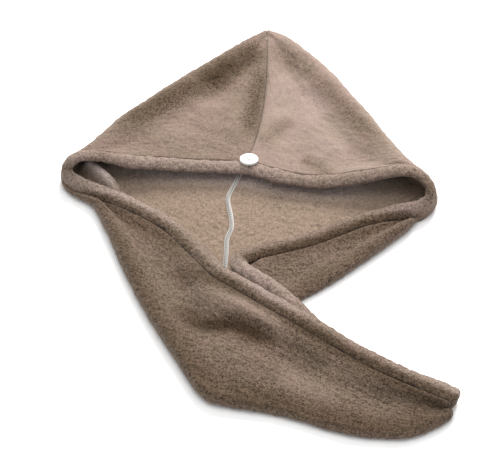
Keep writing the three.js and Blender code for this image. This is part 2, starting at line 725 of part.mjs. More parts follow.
// The button leans on the hem's crown in front and on the cloth behind it.
function buttonGroup() {
  const nape = hemCentre(LEFT, NAPE);
  const crown = nape.z + HEM_THICKNESS / 2 + 2 * PIECE_GAP;
  const cloth = nape.z + WALL / 2 + 2 * PIECE_GAP;
  const slope = (crown - cloth) / (BUTTON_ABOVE_HEM + BUTTON_DIAMETER / 2);
  const group = new THREE.Group();
  group.position.set(0, nape.y + BUTTON_ABOVE_HEM, crown - slope * BUTTON_ABOVE_HEM + BUTTON_THICKNESS / 2);
  group.rotation.x = -Math.atan(slope);
  return group;
}

// Assembly

function namedMesh(name, geometry, material) {
  const mesh = new THREE.Mesh(geometry, material);
  mesh.name = name;
  return mesh;
}

const towel = new THREE.Group();
towel.add(
  namedMesh("left_panel", leftPanel(), NAPE_TAUPE),
  namedMesh("right_panel", rightPanel(), PANEL_TAUPE),
  namedMesh("left_rim_hem", hemTube(LEFT, LEFT_HEM_STATIONS, 0), HEM_TAUPE),
  namedMesh("right_rim_hem", hemTube(RIGHT, RIGHT_HEM_STATIONS, 0), HEM_TAUPE),
  namedMesh("crown_seam_ridge", crownSeamRidge(), OVERLOCK_WHITE),
);
const fastening = buttonGroup();
fastening.add(
  namedMesh("button", buttonSolid(), BUTTON_WHITE),
  namedMesh("button_thread", threadSolid(), THREAD_WHITE),
);
towel.add(fastening);

// The origin is under the middle of the laid towel's box.
const box = new THREE.Box3().setFromObject(towel);
const middle = box.getCenter(new THREE.Vector3());
towel.position.set(-middle.x, -middle.y, -box.min.z);

export default towel;
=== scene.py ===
"""Looks of the hair turban towel: two folded fleece panels, rolled rim hems, the overlocked seam ridge
and the nape button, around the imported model."""
import math

import bpy
import numpy as np
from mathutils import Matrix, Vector


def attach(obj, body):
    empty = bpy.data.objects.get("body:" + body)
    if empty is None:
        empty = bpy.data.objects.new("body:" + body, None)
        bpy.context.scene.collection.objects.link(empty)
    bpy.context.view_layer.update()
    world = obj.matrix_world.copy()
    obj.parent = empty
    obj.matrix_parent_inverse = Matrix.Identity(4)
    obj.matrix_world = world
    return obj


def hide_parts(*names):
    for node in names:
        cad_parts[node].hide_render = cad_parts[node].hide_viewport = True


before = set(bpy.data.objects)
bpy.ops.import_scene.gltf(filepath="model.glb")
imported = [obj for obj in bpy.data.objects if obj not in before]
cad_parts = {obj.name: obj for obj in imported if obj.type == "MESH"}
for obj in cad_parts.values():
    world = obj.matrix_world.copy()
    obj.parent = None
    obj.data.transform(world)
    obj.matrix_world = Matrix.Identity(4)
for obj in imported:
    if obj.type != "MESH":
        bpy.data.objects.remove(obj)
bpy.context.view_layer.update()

bl_info = {
    "name": "Hair turban towel",
    "version": (1, 0, 0),
    "blender": (4, 5, 0),
    "location": "3D View > Sidebar > Turban towel",
    "description": "Makes a laid fleece hair turban with its hems, seam and button",
    "category": "Object",
}

# Sizes in mm, as in the part's source
WALL = 3.0
PLY_PITCH = WALL + 0.8
PIECE_GAP = 0.3
HEM_PITCH = 9.0 + PIECE_GAP
SEAM_GAP = 0.4
CROWN_SEAM_GAP = 1.6
FOLD_RADIUS = 12.0
MOUTH_LIFT = 22.0
TURNED_EDGE = 5.0

# Finer shape of the cloth, in mm: the run over which it drops from the roll's crest, its deepest dent, the
# groove at the nape seam outside and inside, the rounding of its edge, and the spacing of a panel's rows
CREST_RUN = 36.0
DEEPEST_DENT = 1.8
SEAM_GROOVE = 1.3
SEAM_GROOVE_INSIDE = 0.2
SEAM_GROOVE_WIDTH = 2.2
EDGE_RADIUS = 1.5
ROW_SPACING = 2.5

# Distances from the edge, in mm, over which the folds, the slow waves and the pile's clumps come up
FOLDS_FROM_EDGE = (0, 18)
WAVES_FROM_EDGE = (0, 30)
PILE_FROM_EDGE = (0.5, 3)

# Shares: the reach of a soft span's ends and the thickness left at an edge
SOFT_REACH = 0.4
EDGE_LEAST = 0.06

# Shares of the way round the roll over which the upper layer ends, the roll starts and the floor starts
UPPER_ENDS = (0.0, 0.35)
ROLL_STARTS = (0, 0.15)
FLOOR_STARTS = (0.97, 1.0)

# Stations: the step for a direction, and where the hood passes into the flap
TABLE_STEP = 0.05
HOOD_END = (13, 15)

# Points of a section on the lower layer and on each half of the upper one, and on the roll
LAYER_STEPS = 60
ROLL_STEPS = 40

# Rows and columns of the panels' grids, columns of the turned-over tail, and the seeds of their unevenness
LEFT_GRID = (330, 148)
RIGHT_GRID = (250, 148)
TAIL_COLUMNS = 60
LEFT_SEED = 11
RIGHT_SEED = 31
TAIL_SEED = 61

UP = np.array([0.0, 0.0, 1.0])

# Unevenness of the cloth: height or share, wavelength in mm, step of the seed
PILE_CLUMPS = ((0.4, 6.0, 1), (0.3, 13.0, 5))
LOOSE_PILE = 0.75
SLOW_WAVES = ((0.72, 58.0, 40), (0.28, 27.0, 41))
HEM_PUCKERS = ((0.035, 34.0, 0), (0.02, 12.0, 1))
HEM_CLUMPS = ((0.35, 4.5, 2), (0.35, 9.0, 3))
HEM_LOOSE_PILE = 0.2

# Tables: x and y are shares of the laid width and length, from the middle of the layout

CROWN_SEAM = np.array([
    [0.050, 0.530], [0.032, 0.400], [0.006, 0.270], [-0.015, 0.170], [-0.0405, 0.117], [-0.0555, 0.084],
    [-0.047, 0.038], [-0.0455, 0.010], [-0.0567, -0.018], [-0.059, -0.060], [-0.066, -0.130],
    [-0.083, -0.240], [-0.098, -0.336],
])

# Nape seam: x, y, lift
NAPE_SEAM = np.array([
    [0.051, 0.532, 0.30], [0.052, 0.476, 0.40], [0.048, 0.385, 0.38], [0.033, 0.275, 0.38],
])
NAPE = 4

# Hems: x, y, plies under, hems under, lift, heading of the panel's side, its pitch downwards
LEFT_HEM = np.array([
    [0.000, 0.143, 1, 0, 0.30, 0, 0], [-0.070, 0.145, 1, 0, 0.30, 0, 0],
    [-0.150, 0.147, 1, 0, 0.33, 0, 0], [-0.229, 0.148, 1, 0, 0.44, 0, 0],
    [-0.305, 0.145, 1, 0, 0.63, 0, 3], [-0.362, 0.147, 1, 0, 0.84, 3, 8],
    [-0.410, 0.149, 1, 0, 0.95, 8, 12], [-0.450, 0.149, 1, 0, 0.90, 20, 22],
    [-0.473, 0.142, 1, 0, 0.71, 35, 34], [-0.482, 0.133, 1, 0, 0.50, 52, 43],
    [-0.474, 0.118, 1, 0, 0.29, 98, 50], [-0.445, 0.103, 1, 0, 0.17, 138, 48],
    [-0.405, 0.091, 1, 0, 0.08, 152, 30], [-0.347, 0.075, 1, 0, 0.02, 155, 8],
    [-0.269, 0.042, 1, 0, 0, 150, 0], [-0.202, 0.005, 1, 0, 0, 140, 0],
    [-0.151, -0.038, 1.1, 0, 0, 130, 0], [-0.109, -0.081, 2.1, 0, 0, 130, 0],
    [-0.072, -0.119, 3.2, 0, 0, 140, 0], [-0.022, -0.146, 3.5, 0, 0, 145, 0],
    [0.032, -0.175, 3.3, 0.1, 0, 145, 0], [0.100, -0.213, 1.5, 1, 0, 145, 0],
    [0.160, -0.241, 0.9, 1, 0, 145, 0], [0.231, -0.276, 0.1, 1, 0, 145, 0],
    [0.300, -0.310, 0, 1, 0, 145, 0], [0.369, -0.339, 0, 1, 0, 145, 0], [0.437, -0.364, 0, 1, 0, 150, 0],
    [0.482, -0.381, 0, 1, 0, 150, 0],
])
RIGHT_HEM = np.array([
    [0.000, 0.143, 1, 0, 0.30, 0, 0], [0.082, 0.121, 1, 0, 0.27, 0, 0], [0.160, 0.109, 1, 0, 0.26, 0, 0],
    [0.230, 0.107, 1, 0, 0.36, 0, 0], [0.298, 0.107, 1, 0, 0.60, 0, 3], [0.352, 0.108, 1, 0, 0.84, 3, 8],
    [0.400, 0.108, 1, 0, 1.00, 8, 12], [0.436, 0.102, 1, 0, 0.98, 18, 18],
    [0.465, 0.088, 1, 0, 0.76, 38, 34], [0.475, 0.071, 1, 0, 0.50, 52, 43],
    [0.465, 0.053, 1, 0, 0.29, 100, 50], [0.430, 0.040, 1, 0, 0.17, 142, 45],
    [0.370, 0.037, 1, 0, 0.05, 158, 18], [0.301, 0.022, 1, 0, 0, 155, 0], [0.235, 0.000, 1, 0, 0, 155, 0],
    [0.156, -0.027, 1, 0, 0, 158, 0], [0.085, -0.044, 1, 0, 0, 155, 0],
    [0.020, -0.0605, 1.3, 0, 0, 150, 0], [-0.019, -0.076, 1.8, 0, 0, 125, 0],
    [-0.0255, -0.095, 2, 0, 0, 84, 0], [-0.003, -0.1115, 2, 0, 0, 42, 0], [0.031, -0.130, 2, 0, 0, 45, 0],
    [0.065, -0.151, 2, 0, 0, 45, 0], [0.098, -0.177, 1.9, 0, 0, 45, 0], [0.138, -0.208, 1.2, 0, 0, 45, 0],
    [0.178, -0.239, 0.3, 0, 0, 42, 0], [0.231, -0.275, 0, 0, 0, 38, 0], [0.300, -0.309, 0, 0, 0, 35, 0],
    [0.368, -0.338, 0, 0, 0, 33, 0], [0.438, -0.363, 0, 0, 0, 30, 0], [0.477, -0.380, 0, 0, 0, 30, 0],
])

# Folds: silhouette x, y, roll, roll start in degrees, plies and lift halfway, row of the crown seam
LEFT_FOLD = np.array([
    [0.053, 0.552, 0.42, 90, 1, 0.30, 0], [-0.008, 0.511, 0.70, 90, 1, 0.40, 0.6],
    [-0.085, 0.459, 0.85, 90, 1, 0.40, 1.3], [-0.165, 0.405, 0.95, 90, 1, 0.40, 2.0],
    [-0.245, 0.351, 1.00, 90, 1, 0.42, 2.7], [-0.306, 0.307, 1.00, 90, 1, 0.44, 3.3],
    [-0.354, 0.275, 1.00, 90, 1, 0.50, 3.9], [-0.387, 0.243, 1.00, 90, 1, 0.58, 4.4],
    [-0.418, 0.214, 0.98, 90, 1, 0.70, 4.9], [-0.444, 0.192, 0.95, 90, 1, 0.80, 5.3],
    [-0.466, 0.180, 0.88, 85, 1, 0.80, 5.7], [-0.482, 0.169, 0.75, 60, 1, 0.65, 6.0],
    [-0.493, 0.160, 0.60, 35, 1, 0.45, 6.3], [-0.498, 0.146, 0.45, 15, 1, 0.22, 6.6],
    [-0.495, 0.115, 0.42, 10, 1, 0.10, 6.9], [-0.461, 0.088, 0.42, 15, 1, 0.06, 7.2],
    [-0.419, 0.068, 0.45, 45, 1, 0.03, 7.5], [-0.395, 0.040, 0.50, 85, 1, 0, 7.9],
    [-0.358, -0.022, 0.50, 90, 1, 0, 8.4], [-0.320, -0.092, 0.48, 90, 1, 0, 8.9],
    [-0.280, -0.157, 0.46, 90, 1, 0, 9.4], [-0.240, -0.215, 0.46, 90, 1, 0, 10.0],
    [-0.180, -0.292, 0.47, 90, 1.8, 0, 10.9], [-0.112, -0.372, 0.47, 90, 3, 0, 12],
    [-0.040, -0.392, 0.36, 90, 2.8, 0, 12], [0.044, -0.403, 0.30, 90, 1.7, 0, 12],
    [0.120, -0.419, 0.29, 90, 1, 0, 12], [0.200, -0.440, 0.29, 90, 1, 0, 12],
    [0.285, -0.452, 0.29, 90, 1, 0, 12], [0.368, -0.452, 0.29, 90, 1, 0, 12],
    [0.437, -0.432, 0.29, 90, 1.2, 0, 12], [0.478, -0.410, 0.29, 90, 1.5, 0, 12],
])
RIGHT_FOLD = np.array([
    [0.053, 0.552, 0.42, 90, 1, 0.30, 0], [0.115, 0.517, 0.70, 90, 1, 0.40, 0.6],
    [0.173, 0.465, 0.85, 90, 1, 0.40, 1.3], [0.232, 0.408, 0.95, 90, 1, 0.40, 2.0],
    [0.287, 0.338, 1.00, 90, 1, 0.40, 2.7], [0.331, 0.284, 1.00, 90, 1, 0.42, 3.3],
    [0.367, 0.233, 1.00, 90, 1, 0.44, 3.9], [0.398, 0.194, 1.00, 90, 1, 0.50, 4.4],
    [0.423, 0.163, 1.00, 90, 1, 0.64, 4.9], [0.447, 0.142, 0.98, 90, 1, 0.78, 5.3],
    [0.468, 0.127, 0.92, 85, 1, 0.85, 5.7], [0.485, 0.112, 0.80, 65, 1, 0.72, 6.0],
    [0.493, 0.094, 0.60, 40, 1, 0.50, 6.3], [0.496, 0.078, 0.45, 15, 1, 0.22, 6.6],
    [0.482, 0.051, 0.42, 10, 1, 0.10, 6.9], [0.442, 0.029, 0.42, 10, 1, 0.07, 7.3],
    [0.410, 0.000, 0.45, 70, 1, 0.01, 7.8], [0.348, -0.040, 0.42, 90, 1, 0, 8.4],
    [0.272, -0.086, 0.36, 90, 1, 0, 9.0], [0.195, -0.130, 0.28, 90, 1, 0, 9.6],
    [0.122, -0.166, 0.22, 90, 1, 0, 10.3], [0.040, -0.232, 0.17, 90, 1, 0, 11.2],
    [-0.096, -0.336, 0.16, 90, 1, 0, 11.7],
])

TAIL = 23
RIGHT_HEM_LEAVES = 21
RIGHT_TURN = 22
TURN_START = (-0.045, -0.108)

# Turned-over tail of the right panel: right hem station, left station, plies halfway, plies at the edge
RIGHT_TAIL = np.array([
    [24.0, 23.4, 2, 1.3], [25.4, 24.0, 2, 0.4], [27.0, 25.0, 0.7, 0], [28.4, 26.0, 0, 0],
    [30.0, 27.0, 0, 0], [31.0, 28.0, 0, 0], [32.0, 29.0, 0, 0], [33.0, 30.0, 0, 0], [33.9, 30.9, 0, 0],
])

# Soft creases and swells of the upper cloth: height in mm, half width in mm, path as shares x, y
FLAP_FOLDS = (
    (-2.6, 10.0, ((-0.190, -0.186), (-0.160, -0.203), (-0.117, -0.228), (-0.073, -0.234), (-0.022, -0.243),
                  (0.029, -0.258), (0.087, -0.278))),
    (5.4, 22.0, ((-0.150, -0.140), (-0.109, -0.172), (-0.044, -0.188), (0.022, -0.212), (0.088, -0.246))),
    (2.6, 26.0, ((-0.150, -0.270), (-0.070, -0.290), (-0.021, -0.324), (0.078, -0.345), (0.197, -0.382),
                 (0.282, -0.406))),
    (2.2, 20.0, ((-0.330, -0.020), (-0.260, -0.060), (-0.200, -0.120))),
)
NAPE_FOLDS = (
    (2.6, 16.0, ((0.190, 0.190), (0.160, 0.260), (0.120, 0.330))),
    (-2.2, 14.0, ((0.090, 0.200), (0.125, 0.270), (0.120, 0.330))),
    (1.8, 18.0, ((-0.290, 0.200), (-0.200, 0.260), (-0.100, 0.330))),
    (-2.0, 15.0, ((0.010, 0.230), (0.010, 0.300), (-0.020, 0.370))),
    (-1.6, 9.0, ((0.120, 0.170), (0.170, 0.150), (0.210, 0.135))),
)

# Painted shade and painted light in soft lanes on the upper cloth: strength, half width in mm, path as shares
# x, y
HOOD_PAINTED_SHADING = (
    (-0.64, 12.5, ((0.043, 0.475), (-0.040, 0.423), (-0.109, 0.379), (-0.213, 0.324), (-0.298, 0.271),
                   (-0.372, 0.229))),
    (-0.55, 12.5, ((0.045, 0.485), (-0.011, 0.450), (-0.068, 0.414), (-0.137, 0.367))),
    (-0.28, 11.0, ((0.052, 0.500), (0.090, 0.474), (0.144, 0.420), (0.212, 0.350), (0.277, 0.276),
                   (0.332, 0.210), (0.382, 0.162))),
    (0.10, 42.0, ((0.105, 0.410), (0.141, 0.317), (0.190, 0.230))),
    (0.06, 30.0, ((-0.085, 0.350), (-0.162, 0.275), (-0.238, 0.210))),
    (-0.50, 9.0, ((0.040, 0.425), (0.025, 0.356), (0.012, 0.299), (-0.004, 0.221))),
    (0.10, 14.0, ((0.160, 0.186), (0.215, 0.195), (0.270, 0.192))),
    (-0.26, 7.0, ((0.137, 0.165), (0.179, 0.147), (0.225, 0.125))),
    (-0.22, 10.0, ((0.031, 0.210), (0.074, 0.243), (0.128, 0.280))),
)
FLAP_PAINTED_SHADING = (
    (-1.00, 8.0, ((-0.195, -0.180), (-0.144, -0.217), (-0.117, -0.230), (-0.073, -0.234), (-0.027, -0.239),
                  (0.029, -0.258), (0.080, -0.277))),
    (0.26, 17.0, ((-0.150, -0.150), (-0.045, -0.174), (0.032, -0.208), (0.120, -0.262))),
    (-0.42, 13.0, ((-0.384, 0.040), (-0.364, 0.004), (-0.328, -0.061), (-0.282, -0.136), (-0.228, -0.213),
                   (-0.161, -0.291), (-0.097, -0.362), (-0.080, -0.380))),
    (-0.52, 13.0, ((-0.120, -0.340), (-0.097, -0.366), (-0.009, -0.383), (0.061, -0.392), (0.131, -0.406),
                   (0.212, -0.424), (0.304, -0.436), (0.385, -0.430), (0.451, -0.404), (0.480, -0.390))),
    (0.16, 15.0, ((0.060, -0.326), (0.132, -0.356), (0.215, -0.388))),
    (-0.75, 7.0, ((-0.150, -0.085), (-0.111, -0.118), (-0.022, -0.162), (0.032, -0.194), (0.131, -0.245),
                  (0.229, -0.292), (0.321, -0.335), (0.414, -0.378), (0.480, -0.400))),
    (-0.42, 12.0, ((-0.430, 0.060), (-0.395, 0.055), (-0.323, 0.036), (-0.256, 0.003), (-0.189, -0.040),
                   (-0.124, -0.098))),
    (-0.32, 9.0, ((0.100, -0.160), (0.127, -0.142), (0.230, -0.090), (0.336, -0.026), (0.440, 0.042))),
    (-0.35, 6.0, ((0.010, -0.086), (0.130, -0.055), (0.234, -0.024), (0.339, 0.005), (0.430, 0.038))),
    (-0.35, 8.0, ((-0.185, -0.104), (-0.161, -0.114), (-0.110, -0.140), (-0.060, -0.160), (0.000, -0.178))),
)

# Painted shade and painted light along a hem: station, share of the full tone
LEFT_HEM_PAINTED_SHADING = np.array([
    [4, 0.98], [8, 0.92], [9.6, 0.74], [11, 0.98], [13, 0.66], [15, 1.00], [18, 0.98], [20, 0.75], [22, 0.80],
    [24, 1.00], [26, 0.76], [28, 0.74], [31, 0.94],
])
RIGHT_HEM_PAINTED_SHADING = np.array([
    [4, 0.98], [6, 0.84], [10, 0.78], [12, 0.60], [13, 0.54], [15, 0.98], [17, 0.65], [22, 0.68], [23, 1.00],
    [25, 0.96], [28, 0.82], [29.6, 0.58], [34, 0.70],
])

# Tones that scale the pile's colour: the hood's two sides, the flap and tail, the inner face, the most that
# the inner face's painted light lets it grow by, the painted highlight on the corner roll's top for each mm
# of its height, the share of painted shade on a hem's flank turned to the front, and a lane of painted light
# on the inner face below the mouth's rim
HOOD_TONE = {-1: 0.73, 1: 0.86}
FLAP_TONE = 0.60
FLOOR_TONE = 1.08
LIGHTEST = 2.4
CORNER_PAINTED_LIGHT = 0.05
TURNED_SHADE = 0.46
MOUTH_PAINTED_LIGHT = (
    (0.90, 17.0, ((-0.430, 0.165), (-0.330, 0.165), (-0.180, 0.157), (-0.030, 0.148), (0.100, 0.128),
                  (0.210, 0.118), (0.320, 0.122), (0.430, 0.125))),
)

# Roll of inner cloth in the mouth's left corner: its path, and its sizes in mm
CORNER_FOLD = ((-0.452, 0.168), (-0.425, 0.155), (-0.390, 0.133), (-0.355, 0.104), (-0.330, 0.080))
CORNER_RADIUS = 6.8
CORNER_SKIRT = 8.0
CORNER_HEIGHT = 15.0


def length(name, description, default):
    """A property for a length, in metres."""
    return bpy.props.FloatProperty(name=name, description=description, default=default, unit="LENGTH")


def linear_colour(name, description, default):
    """A property for a linear colour."""
    return bpy.props.FloatVectorProperty(
        name=name, description=description, default=default, size=3, subtype="COLOR")


class TowelSizes(bpy.types.PropertyGroup):
    """Sizes of the laid towel."""
    laid_width: length("Laid width", "Width of the layout that the tables are shares of", 0.386)
    laid_length: length("Laid length", "Length of the layout that the tables are shares of", 0.556)
    shift: bpy.props.FloatVectorProperty(
        name="Layout to part", description="Place of the layout's middle in the part's frame",
        default=(0.0007, -0.027246, 0.0), size=3, subtype="TRANSLATION", unit="LENGTH")
    hem_width: length("Hem width", "Width of the rolled rim hem", 0.017)
    hem_thickness: length("Hem thickness", "Thickness of the rolled rim hem", 0.009)
    pile: length("Pile", "Height of the fleece's clumps", 0.00045)
    stitch_pitch: length("Stitch pitch", "Distance between overlock stitches", 0.0032)
    camera_elevation: bpy.props.FloatProperty(
        name="Camera elevation", description="Angle of the camera above the surface",
        default=math.radians(47), subtype="ANGLE")
    camera_distance: length("Camera distance", "Distance of the camera from the layout's middle", 1.6)


class TowelColours(bpy.types.PropertyGroup):
    """Colours of the towel, as linear values."""
    nap: linear_colour("Nap", "Lit pile of the fleece", (0.290, 0.226, 0.190))
    nap_warm: linear_colour("Warm nap", "Pile where it lies the other way", (0.309, 0.230, 0.203))
    # Dark colour between the clumps of pile: partly the base cloth's own, partly painted shade in the hollows
    roots: linear_colour("Roots", "Base cloth between the clumps of pile", (0.068, 0.050, 0.036))
    lining: linear_colour("Inside", "Inner face of the fleece", (0.246, 0.175, 0.120))
    thread: linear_colour("Thread", "Overlock and button thread", (0.86, 0.84, 0.80))
    button: linear_colour("Button", "White button resin", (0.82, 0.82, 0.81))


def sizes():
    """The towel's sizes, as the scene holds them."""
    return bpy.context.scene.towel_sizes


def colours():
    """The towel's colours, as the scene holds them."""
    return bpy.context.scene.towel_colours


# Tables as curves

def row_at(rows, place):
    """Values of a table between its rows: a cubic through the two nearest rows, whose slope at a row is half
    the step from the row before to the row after."""
    place = np.atleast_1d(np.asarray(place, float))
    last = len(rows) - 1
    index = np.clip(np.floor(place).astype(int), 0, last - 1)
    t = (place - index)[:, None]
    start, end = rows[index], rows[index + 1]
    leave = (end - rows[np.maximum(index - 1, 0)]) / 2
    arrive = (rows[np.minimum(index + 2, last)] - start) / 2
    return ((2 * t**3 - 3 * t**2 + 1) * start + (t**3 - 2 * t**2 + t) * leave
            + (3 * t**2 - 2 * t**3) * end + (t**3 - t**2) * arrive)


def plan(x, y, z=0.0):
    """Points in millimetres from shares of the laid width and length."""
    x, y, z = np.broadcast_arrays(x, y, z)
    return np.stack([x * sizes().laid_width * 1000, y * sizes().laid_length * 1000, z], -1).astype(float)


def layer_height(plies, lift):
    """Middle height of a layer: half a wall, a pitch for each ply under it, and its lift."""
    return WALL / 2 + np.maximum(plies, 0) * PLY_PITCH + lift * MOUTH_LIFT


def unit(v):
    """Vectors of length one along the last axis."""
    return v / np.maximum(np.linalg.norm(v, axis=-1, keepdims=True), 1e-12)


def smooth(value, low, high):
    """0 below low, 1 above high, and the cubic 3t^2 - 2t^3 between them."""
    t = np.clip((value - low) / (high - low), 0, 1)
    return t * t * (3 - 2 * t)


class Side:
    """One panel: its sign along X, its tables, and the stations at which it leaves the rim and meets the
    tail."""

    def __init__(self, sign, hem, fold, hem_leaves, tail):
        self.sign, self.hem, self.fold, self.hem_leaves, self.tail = sign, hem, fold, hem_leaves, tail


LEFT = Side(-1, LEFT_HEM, LEFT_FOLD, len(LEFT_FOLD) - 1, TAIL)
RIGHT = Side(1, RIGHT_HEM, RIGHT_FOLD, RIGHT_HEM_LEAVES, len(RIGHT_FOLD))


def hem_centre(side, station):
    """Middle line of a hem: its plan point, raised by what lies under it and by half its own thickness."""
    x, y, plies, hems, lift, _, _ = row_at(side.hem, station - NAPE).T
    support = np.maximum(plies * PLY_PITCH + hems * HEM_PITCH + lift * MOUTH_LIFT, 0)
    centre = plan(x, y, support + sizes().hem_thickness * 500)
    centre[:, 0] += side.sign * SEAM_GAP / 2
    return centre


def hem_frame(side, station):
    """Centre, travel, wide and thin axes of a hem: travel is the step between points just ahead and behind,
    wide is the heading and pitch made square to it, thin is their cross product."""
    station = np.atleast_1d(np.asarray(station, float))
    last = NAPE + len(side.hem) - 1
    centre = hem_centre(side, station)
    along = unit(hem_centre(side, np.minimum(station + TABLE_STEP, last))
                 - hem_centre(side, np.maximum(station - TABLE_STEP, NAPE)))
    along[station <= NAPE] = (side.sign, 0, 0)
    heading, pitch = np.radians(row_at(side.hem, station - NAPE)[:, 5:7]).T
    wide = np.stack([side.sign * np.sin(heading) * np.cos(pitch), np.cos(heading) * np.cos(pitch),
                     -np.sin(pitch)], -1)
    wide = unit(wide - along * (wide * along).sum(-1, keepdims=True))
    return centre, along, wide, np.cross(along, wide)


def inner_edge(side, station):
    """Inner edge of the upper layer: the nape seam, then the hem's outer flank; past the crossing of the
    rims it runs to the start of the turn. Also the direction in which a hem sends the cloth off, and the
    share of it that the cloth keeps."""
    reach = sizes().hem_width * 500 + PIECE_GAP
    centre, _, wide, _ = hem_frame(side, NAPE)
    nape = (centre + wide * reach)[0]
    width, length = plan(1, 1)[:2]
    seam = np.vstack([NAPE_SEAM, [(nape[0] - side.sign * SEAM_GAP / 2) / width, nape[1] / length,
                                  (nape[2] - layer_height(1, 0)) / MOUTH_LIFT]])
    x, y, lift = row_at(seam, np.minimum(station, NAPE)).T
    on_seam = plan(x, y, layer_height(1, lift))
    on_seam[:, 0] += side.sign * SEAM_GAP / 2
    held = np.clip(station, NAPE, side.hem_leaves)
    centre, _, wide, _ = hem_frame(side, held)
    on_hem = centre + wide * reach
    past = np.clip(station - side.hem_leaves, 0, 1)[:, None]
    on_hem = on_hem * (1 - past) + plan(*TURN_START, layer_height(1, 0)) * past
    nape_part = (station < NAPE)[:, None]
    hold = np.clip(station - NAPE + 1, 0, 1)[:, None] * (1 - past)
    return np.where(nape_part, on_seam, on_hem), wide, hold


def soft_span(start, leave, end, arrive, count):
    """Cubic Bezier curves from start to end that keep a direction at each end over a share of their
    length."""
    reach = SOFT_REACH * np.linalg.norm(end - start, axis=-1)[:, None]
    one, two = start + leave * reach, end - arrive * reach
    t = np.linspace(0, 1, count)[None, :, None]
    start, one, two, end = (p[:, None] for p in (start, one, two, end))
    return (1 - t)**3 * start + 3 * (1 - t)**2 * t * one + 3 * (1 - t) * t**2 * two + t**3 * end


def lower_end(side, station, seam_row, roll_end, outwards):
    """End of the lower layer: beside the crown seam, and on the tail a narrow allowance from the fold."""
    turned = roll_end - outwards * TURNED_EDGE
    last = len(CROWN_SEAM) - 1
    seam = plan(*row_at(CROWN_SEAM, seam_row).T, WALL / 2)
    along = unit(plan(*row_at(CROWN_SEAM, np.minimum(seam_row + TABLE_STEP, last)).T)
                 - plan(*row_at(CROWN_SEAM, np.maximum(seam_row - TABLE_STEP, 0)).T))
    half_gap = (SEAM_GAP + (CROWN_SEAM_GAP - SEAM_GAP) * np.minimum(station, 1)) / 2
    seam[:, 0] -= along[:, 1] * side.sign * half_gap
    seam[:, 1] += along[:, 0] * side.sign * half_gap
    share = np.clip(station - side.tail, 0, 1)[:, None]
    return seam * (1 - share) + turned * share


def near_path(points, path):
    """For points in plan, the distance to a smooth path and how far along it, from 0 to 1, the nearest is."""
    rows = np.array(path)
    place = np.linspace(0, len(rows) - 1, 16 * (len(rows) - 1) + 1)
    line = plan(*row_at(rows, place).T)[:, :2]
    gap = np.linalg.norm(points[..., None, :2] - line, axis=-1)
    nearest = gap.argmin(-1)
    return gap.min(-1), nearest / (len(line) - 1)


def swell(points, folds):
    """Height of soft folds: each a bell across its path, fading to nothing at the path's two ends."""
    height = np.zeros(points.shape[:-1])
    for peak, half_width, path in folds:
        distance, share = near_path(points, path)
        height += peak * np.exp(-(distance / half_width)**2) * smooth(share, -0.02, 0.25) * smooth(
            1 - share, -0.02, 0.25)
    return height


def ripple(points, wavelength, seed, waves=28):
    """Smooth noise of unit spread: a sum of plane sine waves of about one wavelength in seeded directions."""
    random = np.random.default_rng(seed)
    direction = unit(random.normal(size=(waves, 3)))
    turn = direction * (2 * np.pi / (wavelength * random.uniform(0.75, 1.35, (waves, 1))))
    phase = random.uniform(0, 2 * np.pi, waves)
    flat = points.reshape(-1, 3)
    total = np.zeros(len(flat))
    for one_turn, one_phase in zip(turn, phase):
        total += np.sin(flat @ one_turn + one_phase)
    return (total / math.sqrt(waves / 2)).reshape(points.shape[:-1])


def ripples(points, waves, seed):
    """Sum of several ripples, each times its share, with its own wavelength and seed."""
    return sum(share * ripple(points, wavelength, seed + step) for share, wavelength, step in waves)


